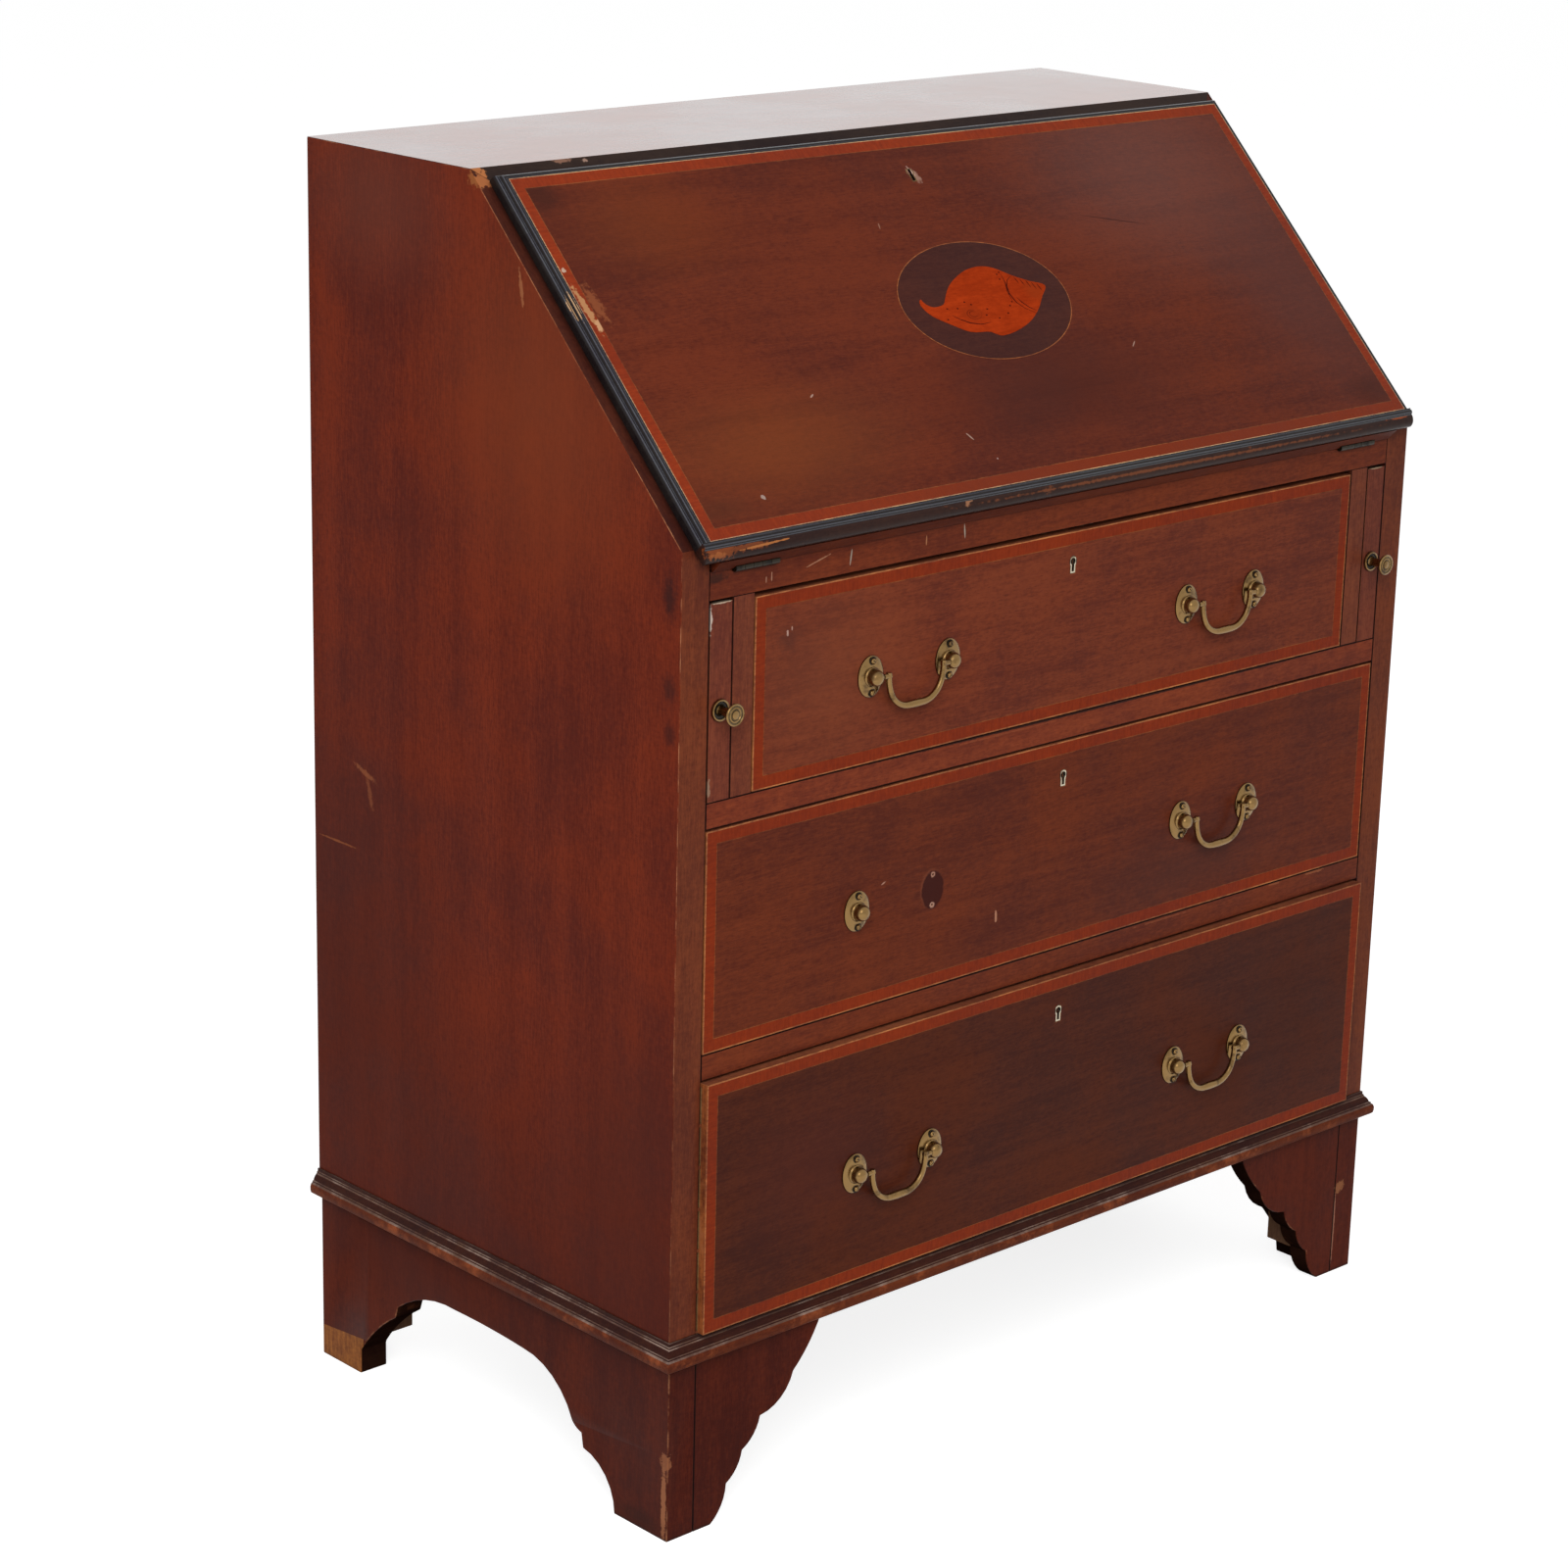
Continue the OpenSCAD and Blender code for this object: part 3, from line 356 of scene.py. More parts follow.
    @cache
    def material(self) -> bpy.types.Material:
        """Makes the wood's material once.

        Returns:
            The material.
        """
        material, tree, shader = started(self.name)
        broad = add(tree, "TexNoise", {"Vector": self.along(tree, self.length, self.streak), "Scale": 1.0,
                                       "Detail": 3.0, "Roughness": 0.55, "Distortion": 0.4})
        fine = add(tree, "TexNoise", {"Vector": self.along(tree, 11, 1.5), "Scale": 1.0, "Detail": 2.0,
                                      "Roughness": 0.65})
        streaks = add(tree, "Math", {0: fine, 1: 0.5, 2: add(
            tree, "Math", {0: broad, 1: 0.5}, operation="MULTIPLY")}, operation="MULTIPLY_ADD")
        clouds = add(tree, "TexNoise", {"Vector": placed(tree, (self.cloud,) * 3), "Scale": 1.0,
                                        "Detail": 4.0, "Roughness": 0.6})
        holes = add(tree, "TexNoise", {"Vector": self.along(tree, 6.0, 0.6), "Scale": 1.0, "Detail": 1.0,
                                       "Roughness": 0.55})
        pores = add(tree, "MapRange", {0: holes, 1: 0.58, 2: 0.72}, **SMOOTH)
        height = add(tree, "Math", {0: pores, 1: -1.0, 2: fine}, operation="MULTIPLY_ADD")
        grained = add(tree, "Bump", {"Height": height, "Distance": 0.05 * MM, "Strength": 0.5})
        waves = add(tree, "TexNoise", {"Vector": placed(tree, (38, 38, 38)), "Scale": 1.0, "Detail": 2.0,
                                       "Roughness": 0.55})
        feed(tree, shader, {
            "Base Color": self.colour(tree, streaks, clouds, pores),
            "Roughness": add(tree, "MapRange", {0: clouds, 1: 0.3, 2: 0.7, 3: self.gloss - 0.07,
                                                4: self.gloss + 0.12}, **SMOOTH),
            "Normal": add(tree, "Bump", {"Height": waves, "Distance": 1.2 * MM, "Strength": 0.25,
                                         "Normal": grained}),
            "Coat Normal": add(tree, "Bump", {"Height": waves, "Distance": 0.8 * MM, "Strength": 0.2}),
            "Specular IOR Level": self.shine,
            "Coat Weight": self.polish,
            "Coat Roughness": self.polish_gloss})
        return material

    def worn(self, rubbed: float = 0.6) -> "Wood":
        """The same wood where hands and knocks have rubbed its arris."""
        return replace(self, name=self.name + "_arris", rubbed=rubbed, rub="#a8704e")


@dataclass(frozen=True)
class Brass:
    """Cast or drawn brass that has dulled to brown in its hollows, with old lacquer that gleams.

    Attributes:
        name: What the piece of brass is.
        bright: Colour of the metal where hands keep it bright.
        dull: Colour of the tarnish.
        tarnish: Share of the surface that is dulled.
        gloss: Roughness of the bright metal.
        lacquer: Weight of what is left of the lacquer.
        lacquer_gloss: Roughness of the lacquer.
    """

    name: str
    bright: str = "#84663a"
    dull: str = "#5a4222"
    tarnish: float = 0.5
    gloss: float = 0.24
    lacquer: float = 0.3
    lacquer_gloss: float = 0.14

    @cache
    def material(self) -> bpy.types.Material:
        """Makes the brass's material once.

        Returns:
            The material.
        """
        material, tree, shader = started(self.name)
        patches = add(tree, "TexNoise", {"Vector": placed(tree, (13, 13, 13)), "Scale": 1.0, "Detail": 4.0,
                                         "Roughness": 0.65})
        grit = add(tree, "TexNoise", {"Vector": placed(tree, (0.7, 0.7, 0.7)), "Scale": 1.0, "Detail": 3.0,
                                      "Roughness": 0.55})
        clean = 0.7 - 0.4 * self.tarnish
        dulled = add(tree, "MapRange", {0: patches, 1: clean, 2: clean + 0.2}, **SMOOTH)
        colour = add(tree, "Mix", {0: dulled, 6: linear(self.bright), 7: linear(self.dull)}, data_type="RGBA")
        feed(tree, shader, {
            "Base Color": corner_shade_and_grime(tree, colour, 0.75, 1.8, "#2a1d10"),
            "Roughness": add(tree, "MapRange", {0: dulled, 3: self.gloss, 4: self.gloss + 0.22}, **SMOOTH),
            "Normal": add(tree, "Bump", {"Height": grit, "Distance": 0.05 * MM, "Strength": 0.6}),
            "Metallic": 1.0,
            "Coat Weight": self.lacquer,
            "Coat Roughness": self.lacquer_gloss})
        return material


@dataclass(frozen=True)
class Leather:
    """Skiver leather pasted on the writing surface: a fine pebble grain with a low sheen.

    Attributes:
        name: What the leather is.
        hide: Its colour.
        thin: Its colour where hands have thinned the dye.
        pebble: Size of a pebble of the grain in millimetres.
        gloss: Roughness.
    """

    name: str = "skiver_leather"
    hide: str = "#24402f"
    thin: str = "#3d5743"
    pebble: float = 0.9
    gloss: float = 0.55

    @cache
    def material(self) -> bpy.types.Material:
        """Makes the leather's material once.

        Returns:
            The material.
        """
        material, tree, shader = started(self.name)
        pebbles = add(tree, "TexVoronoi", {"Vector": placed(tree, (self.pebble,) * 3), "Scale": 1.0})
        clouds = add(tree, "TexNoise", {"Vector": placed(tree, (60, 60, 60)), "Scale": 1.0, "Detail": 4.0,
                                        "Roughness": 0.65})
        share = add(tree, "MapRange", {0: clouds, 1: 0.4, 2: 0.7}, **SMOOTH)
        feed(tree, shader, {
            "Base Color": add(tree, "Mix", {0: share, 6: linear(self.hide), 7: linear(self.thin)},
                              data_type="RGBA"),
            "Normal": add(tree, "Bump", {"Height": pebbles, "Distance": 0.12 * MM, "Strength": 0.5}),
            "Roughness": self.gloss})
        return material


Finish = Wood | Brass | Leather

# The case's front face and half width in the frame, in millimetres
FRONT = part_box("side_left")[0].y / MM
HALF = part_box("side_right")[1].x / MM
# How high the slope starts, and how far its upper face lies out of it
SLOPE_FOOT = 728.0
LID_RISE = 11
# Where the middle drawer has lost a plate, and how far its screws were from its middle
GHOST = (-133.4, 441.0)
GHOST_SCREW = 11.5


def on_slope(x: float, up: float) -> Point3:
    """The point of the lid this far from its middle and up its slope, in millimetres."""
    across, out = up * math.sqrt(0.5), LID_RISE * math.sqrt(0.5)
    return x, FRONT + across - out, SLOPE_FOOT + across + out


def lid_mark(x: float, up: float, wide: float, high: float, tint: str, turn: float = 0,
             **settings: float) -> Mark:
    """A mark on the lid.

    Args:
        x: Its place from the lid's middle in millimetres.
        up: Its place up the slope.
        wide: Its half width.
        high: Its half height.
        tint: Its colour.
        turn: Degrees that it is turned on the lid.
        settings: The mark's other fields.

    Returns:
        The mark.
    """
    lie = Matrix.Rotation(math.radians(45), 3, "X") @ Matrix.Rotation(math.radians(turn), 3, "Z")
    angles = tuple(math.degrees(a) for a in lie.to_euler())
    return Mark(on_slope(x, up), (wide, high, 9), tint, angles, **settings)


def front_mark(x: float, z: float, wide: float, high: float, tint: str, turn: float = 0, deep: float = 4,
               **settings: float) -> Mark:
    """A mark on the front, with its place and half sizes in millimetres and its turn in degrees."""
    return Mark((x, FRONT, z), (wide, deep, high), tint, (0, turn, 0), **settings)


def side_mark(back: float, z: float, long: float, high: float, tint: str, turn: float = 0, deep: float = 9,
              **settings: float) -> Mark:
    """A mark on the left side, this far back from the front, in millimetres and degrees."""
    return Mark((-HALF, FRONT + back, z), (deep, long, high), tint, (turn, 0, 0), **settings)


# Polished Cuban mahogany: warm red-brown, browner where the polish has gone thin
MAHOGANY = Wood("french_polished_mahogany", "#5f2817", dust=0.06, grime=0.8)
SIDE = replace(
    MAHOGANY, name="mahogany_side", tone="#642313", grain=Grain.UPRIGHT, streak=34, length=900, contrast=1.1,
    shine=0.03, dust=0.05,
    marks=(
        # The first five soft patches are painted light and shade: lighter at the upper front and upper rear,
        # darker low down and towards the rear
        side_mark(150, 800, 170, 190, "#7c3a20", deep=60, amount=0.55, ragged=0.1, soft=1.0),
        side_mark(330, 920, 130, 90, "#6f3a2c", deep=60, amount=0.45, ragged=0.1, soft=1.0),
        side_mark(390, 330, 230, 330, "#3a150f", deep=60, amount=0.55, ragged=0.1, soft=1.0),
        side_mark(180, 90, 420, 330, "#3b140c", deep=60, amount=0.6, ragged=0.1, soft=1.0),
        side_mark(40, 260, 110, 220, "#4a1c12", deep=60, amount=0.5, ragged=0.1, soft=1.0),
        side_mark(12, 695, 10, 22, "#2a1312", amount=0.75, ragged=0.6, soft=0.8),
        side_mark(11, 632, 11, 14, "#2f1614", amount=0.6, ragged=0.6, soft=0.8),
        side_mark(10, 600, 9, 12, "#2a1312", amount=0.6, ragged=0.6, soft=0.8),
        side_mark(351, 492, 17, 3, "#9a5836", 20, deep=5, amount=0.6, ragged=0.9, soft=0.6),
        side_mark(345, 478, 3, 18, "#8c4c2e", -15, deep=5, amount=0.6, ragged=0.9, soft=0.6),
        side_mark(385, 430, 26, 1.2, "#96542f", deep=5, amount=0.7, ragged=0.8, soft=0.6),
        side_mark(170, 880, 2, 14, "#a86a45", -10, deep=5, amount=0.6, ragged=0.9),
        side_mark(221, 948, 7, 7, "#93562f", deep=12, ragged=1.6, soft=0.4)))
UPRIGHT = replace(MAHOGANY, name="mahogany_upright", tone="#66301e", grain=Grain.UPRIGHT, streak=12,
                  dust=0.02)
RAIL = replace(
    MAHOGANY, name="mahogany_rail", tone="#672c19",
    marks=(
        front_mark(-225, 702, 0.7, 7, "#9c8f80", 8, ragged=0.3),
        front_mark(-152, 703, 0.8, 4, "#a06a48", ragged=0.5),
        front_mark(-114, 704, 0.7, 6, "#a59786", -6, ragged=0.3),
        front_mark(-256, 704, 13, 0.55, "#a9785c", -15, amount=0.8, ragged=0.9),
        front_mark(-299, 699, 0.6, 4, "#a87a62", amount=0.8, ragged=1.0),
        front_mark(-304, 698, 0.5, 3, "#a87a62", amount=0.8, ragged=1.0),
        front_mark(-358, 706, 24, 5, "#2c1a14", amount=0.7, ragged=0.9, soft=0.6),
        front_mark(299, 364.5, 12, 1.4, "#9a5a38", amount=0.7, ragged=1.4),
        front_mark(252, 364.5, 6, 1.1, "#9a5a38", amount=0.6, ragged=1.4),
        front_mark(120, 363.5, 30, 0.8, "#8c4a2e", amount=0.6, ragged=1.4),
        # These three near-black lines along the rails' edges by the drawers are painted shadow in the gaps
        front_mark(40, 548.9, 335, 1.9, "#170e0c", amount=0.9, ragged=0.25, soft=0.3),
        front_mark(20, 365.9, 350, 1.1, "#1c100d", amount=0.85, ragged=0.3, soft=0.4),
        front_mark(20, 347.0, 350, 1.2, "#1c100d", amount=0.85, ragged=0.3, soft=0.4),
        front_mark(-60, 546, 60, 0.7, "#8c4a2e", amount=0.5, ragged=1.4)))
TOP_FIELD = replace(
    MAHOGANY, name="mahogany_top_drawer", tone="#6a2f1e",
    marks=(
        front_mark(-283, 657, 1.2, 2.4, "#c9a494", ragged=1.0),
        front_mark(-279, 660, 0.8, 2, "#b8907e", ragged=1.0),
        front_mark(-304, 663, 1, 1.6, "#b8907e", ragged=1.0),
        # a painted pool of light on the drawer's left
        front_mark(-240, 620, 120, 90, "#81452c", amount=0.4, ragged=0.2, soft=1.0),
        front_mark(-282, 652, 16, 14, "#3a2420", amount=0.35, ragged=0.5, soft=1.0)))
# The bottom drawer's darker tone is partly painted shade low down; its soft patches paint shade on the right
# and light on the left
BOTTOM_FIELD = replace(
    MAHOGANY, name="mahogany_bottom_drawer", tone="#4a1f11",
    marks=(
        front_mark(250, 250, 150, 110, "#32150f", deep=20, amount=0.5, ragged=0.2, soft=1.0),
        front_mark(-250, 260, 110, 90, "#57251a", deep=20, amount=0.5, ragged=0.2, soft=1.0)))
# Where the lost plate kept the light off, the polish stays dark and glossy, with two torn screw holes
MIDDLE_FIELD = replace(
    MAHOGANY, name="mahogany_middle_drawer",
    marks=(
        front_mark(GHOST[0] - 1, GHOST[1] + 1, 12.5, 16.4, "#8a4c34", amount=0.4, ragged=0.15, soft=0.2),
        front_mark(*GHOST, 11.9, 15.6, "#381009", amount=0.97, ragged=0.12, soft=0.15),
        front_mark(GHOST[0], GHOST[1] + GHOST_SCREW, 2.8, 2.6, "#a87a66", ragged=0.5, soft=0.3),
        front_mark(GHOST[0], GHOST[1] - GHOST_SCREW, 2.8, 2.6, "#b08470", ragged=0.5, soft=0.3),
        front_mark(-66, 406, 1.2, 5, "#b07a5e", ragged=1.0),
        front_mark(-184, 456, 3, 0.8, "#a87a66", -20, ragged=1.0),
        # painted shade on the drawer's right
        front_mark(150, 400, 170, 50, "#4c2a22", amount=0.4, ragged=0.3, soft=1.0)))
# Near-black for arrises at the gaps round the drawers and in the feet's inner corners: painted shade
PAINTED_GAP_SHADE = Wood("grimed_mahogany", "#1f0e0b", polish=0.0, gloss=0.6)
EDGE_GRAIN = Wood("sawn_mahogany_dark", "#22110c", polish=0.0, gloss=0.75, shine=0.0, rub="#5a3220",
                  rubbed=0.25)
FIELD = replace(
    MAHOGANY, name="mahogany_veneer_lid", tone="#562112", cloud=150, streak=16, length=200, dust=0.13,
    marks=(
        # The first five soft patches are painted: a milky painted reflection in the polish to the upper
        # right, painted sheen on the right, painted light on the left and painted shade low in the middle
        lid_mark(250, 250, 210, 150, "#76554f", amount=0.3, ragged=0.1, soft=1.0),
        lid_mark(330, 120, 120, 160, "#5a322b", amount=0.5, ragged=0.1, soft=1.0),
        lid_mark(-270, 250, 110, 70, "#6c3214", amount=0.4, ragged=0.15, soft=1.0),
        lid_mark(-260, 60, 170, 75, "#743a1a", amount=0.5, ragged=0.15, soft=1.0),
        lid_mark(20, 70, 190, 70, "#421910", amount=0.8, ragged=0.15, soft=1.0),
        lid_mark(-345, 285, 26, 26, "#35170f", amount=0.7, ragged=0.3, soft=0.9),
        lid_mark(-340, 20, 40, 16, "#4a2413", amount=0.5, ragged=0.3, soft=0.9),
        lid_mark(340, 20, 40, 22, "#3d1a12", amount=0.6, ragged=0.3, soft=0.9),
        lid_mark(2, 266, 5, 9, "#8f6a5b", 18, ragged=0.7, soft=0.3),
        lid_mark(1, 270, 2.2, 5, "#c09c8c", 18, amount=0.9, ragged=0.9, soft=0.3),
        lid_mark(-349, 192, 6, 20, "#85492b", 8, amount=0.7, ragged=1.2, soft=0.5),
        lid_mark(175, 205, 40, 0.7, "#381812", -14, amount=0.8, ragged=0.4, soft=0.5),
        lid_mark(120, 95, 4, 0.7, "#a08070", 40, amount=0.8, ragged=0.6),
        lid_mark(-90, 42, 4, 0.7, "#a98a7a", -60, amount=0.8, ragged=0.6),
        lid_mark(-210, 95, 2.4, 0.7, "#a98a7a", 30, amount=0.8, ragged=0.6),
        lid_mark(-300, 24, 2, 2, "#a8948a", amount=0.7, ragged=1.0),
        lid_mark(-60, 225, 3, 0.6, "#9a705c", 75, amount=0.7, ragged=0.6)))
# Stained satinwood and boxwood: close-grained, with hardly a pore, and redder than when new
BAND = Wood("satinwood_crossband_stained", "#7e2c12", streak=2.2, length=12, pores=0.2, contrast=0.6,
            dust=0.02)
LID_BAND = replace(
    BAND, name="crossband_lid",
    marks=(
        lid_mark(-358.5, 190, 3.2, 22, "#a9774f", 4, ragged=1.0, soft=0.3),
        lid_mark(-355, 176, 4, 5, "#b98a64", -30, ragged=1.4, soft=0.3),
        lid_mark(-360, 222, 2, 2, "#b39480", ragged=1.0, soft=0.3),
        lid_mark(60, 3, 420, 30, "#6c2a14", amount=0.75, ragged=0.2, soft=0.6)))
STRING = Wood("boxwood_string", "#94583a", pores=0.3, streak=3.0, length=40, contrast=1.8)
STRING_PALE = replace(STRING, name="boxwood_string_pale", tone="#a17a62")
STRING_FAINT = replace(STRING, name="boxwood_line_stained", tone="#6f3a22")
# Ebonising is a black stain under polish, rubbed grey-brown where hands and cloths go
EBONISED = Wood("ebonised_beech", "#1b1616", pores=0.3, shine=0.12, gloss=0.28, polish=0.05,
                polish_gloss=0.18, rub="#4a2a1c", dust=0.05)
EBONISED_WORN = replace(
    EBONISED, name="ebonised_nose_worn", tone="#2c1813", shine=0.08, rub="#8a4c2a", rubbed=0.12,
    marks=(
        lid_mark(-356, -9, 17, 7, "#743a1c", ragged=1.3, soft=0.3),
        lid_mark(-360, -11, 8, 2.2, "#90512a", ragged=1.2, soft=0.3),
        lid_mark(-332, -9, 20, 3, "#6a351b", ragged=1.3, soft=0.4),
        lid_mark(-318, -9.5, 28, 0.8, "#a06234", 2, ragged=0.7, soft=0.3),
        lid_mark(352, -6, 16, 2.5, "#94461f", ragged=0.8, soft=0.3),
        lid_mark(90, -10, 260, 1.3, "#7a4428", amount=0.7, ragged=0.8, soft=0.5),
        lid_mark(-120, -5, 9, 2.5, "#9a6a4c", 30, amount=0.8, ragged=1.4)))
# The reeds' flanks in grey-blue are a painted highlight, the glint along the reeds; its tan patch is real
# wear
EBONISED_REED_HIGHLIGHT_AND_WEAR = replace(
    EBONISED, name="ebonised_reed", tone="#34343c", contrast=0.9, shine=0.45,
    marks=(lid_mark(-367, 193, 3.4, 13, "#a98560", ragged=0.7, soft=0.3),))
# Near-black walls of keyholes, liner recesses and screw holes, which the cuts take: painted shade
PAINTED_HOLE_SHADE = replace(EBONISED, name="ebony_line")
CORE = replace(MAHOGANY, name="plain_mahogany", tone="#6d3b28", polish=0.0, gloss=0.6, grime=0.0)
SLIDE_WOOD = replace(
    UPRIGHT, name="mahogany_slide", tone="#6a3325",
    marks=(
        front_mark(-344, 688.8, 10, 1.3, "#b39c86", deep=5, ragged=0.6, soft=0.3),
        front_mark(-354, 678, 1.6, 10, "#c2aea0", deep=5, ragged=1.3, soft=0.3),
        front_mark(344, 688.8, 9, 1.1, "#a58a70", deep=5, ragged=0.25, soft=0.3),
        front_mark(-353, 560, 1.4, 8, "#8f6f5a", deep=5, ragged=1.6, soft=0.3)))
# Bare pine and oak, brown with age and dust where no hand reaches, their corners darkened by painted shade
PALE = Wood("unpolished_pine", "#8d6642", streak=9.0, pores=0.15, gloss=0.7, polish=0.0, shine=0.1,
            grain=Grain.DEEP, grime=0.4)
OLD_PINE = replace(PALE, name="old_pine_darkened", tone="#5c4031", grain=Grain.UPRIGHT)
OAK = Wood("drawer_lining_oak", "#966c47", streak=5.0, pores=0.5, gloss=0.65, polish=0.0, shine=0.1,
           grain=Grain.DEEP, grime=0.4)
HANDLE_BRASS = Brass("aged_cast_brass")
# Nearly black brass: tarnish, and painted shade in holes, slots, countersinks, necks and under the lid
BRASS_TARNISH_AND_SHADE = Brass("tarnished_brass", bright="#2f271a", dull="#1d160d", tarnish=0.6, gloss=0.6)
RING_BRASS = Brass("brass_in_turned_rings", bright="#5c4a2c", dull="#3d2f1a")
LOCK_BRASS = Brass("dull_lock_brass", bright="#9d8d68", dull="#6c5c3e", gloss=0.35)
GILT = Brass("gold_leaf_tooling", bright="#a8854a", dull="#6a5a34", tarnish=0.45, gloss=0.4)
LINER_BRASS = Brass("pale_liner_brass", bright="#c4b9a2", dull="#857860", gloss=0.35)


# ---------------------------------------------------------------- shaping


def arc(start: Point2, end: Point2, bulge: float, count: int = 6) -> list[Point2]:
    """Points of an arc between two points, the last one left out.

    Args:
        start: First point.
        end: Last point.
        bulge: How far the arc swells to the right of the way; 0 is straight.
        count: Number of points.

    Returns:
        The points from start on.
    """
    if not bulge:
        return [start]
    a, b = Vector(start), Vector(end)
    chord = (b - a).length
    radius = (chord * chord / 4 + bulge * bulge) / (2 * bulge)
    along = (b - a) / chord
    right = Vector((along.y, -along.x))
    centre = (a + b) / 2 - right * (radius - bulge)
    half = math.asin(chord / 2 / radius)
    turns = [half * (2 * i / count - 1) for i in range(count)]
    return [tuple(centre + radius * (right * math.cos(t) + along * math.sin(t))) for t in turns]


def outline(corners: Sequence[Point3], count: int = 6) -> list[Point2]:
    """Points round an outline whose corners are (x, y, bulge), bulge of the stretch that ends there."""
    pairs = zip(corners, [*corners[1:], corners[0]])
    return [point for a, b in pairs for point in arc(a[:2], b[:2], b[2], count)]


def oval(width: float, height: float, count: int = 48) -> list[Point2]:
    """Points round an ellipse of this width and height."""
    turns = [2 * math.pi * i / count for i in range(count)]
    return [(width / 2 * math.cos(t), height / 2 * math.sin(t)) for t in turns]


def flowing(points: Sequence[Point2], count: int = 4) -> list[Point2]:
    """Points of a closed line that flows through the given ones.

    Args:
        points: The given points.
        count: Number of points for each stretch between two of them.

    Returns:
        The points.
    """
    size, line = len(points), []
    for i in range(size):
        a, b, c, d = (Vector(points[(i + k) % size]) for k in (-1, 0, 1, 2))
        for t in (k / count for k in range(count)):
            line.append(tuple(0.5 * (2 * b + (c - a) * t + (2 * a - 5 * b + 4 * c - d) * t ** 2
                                     + (3 * b - a - 3 * c + d) * t ** 3)))
    return line


def stroke(points: Sequence[Point2], width: float) -> list[Point2]:
    """Points round a line that thins out to both ends.

    Args:
        points: Points of its middle.
        width: Its width where it is widest.

    Returns:
        The points round it.
    """
    left, right = [], []
    for i, point in enumerate(points):
        along = Vector(points[min(i + 1, len(points) - 1)]) - Vector(points[max(i - 1, 0)])
        across = Vector((-along.y, along.x)).normalized()
        half = width / 2 * max(0.15, math.sin(math.pi * i / (len(points) - 1)))
        left.append(tuple(Vector(point) + across * half))
        right.append(tuple(Vector(point) - across * half))
    return left + right[::-1]


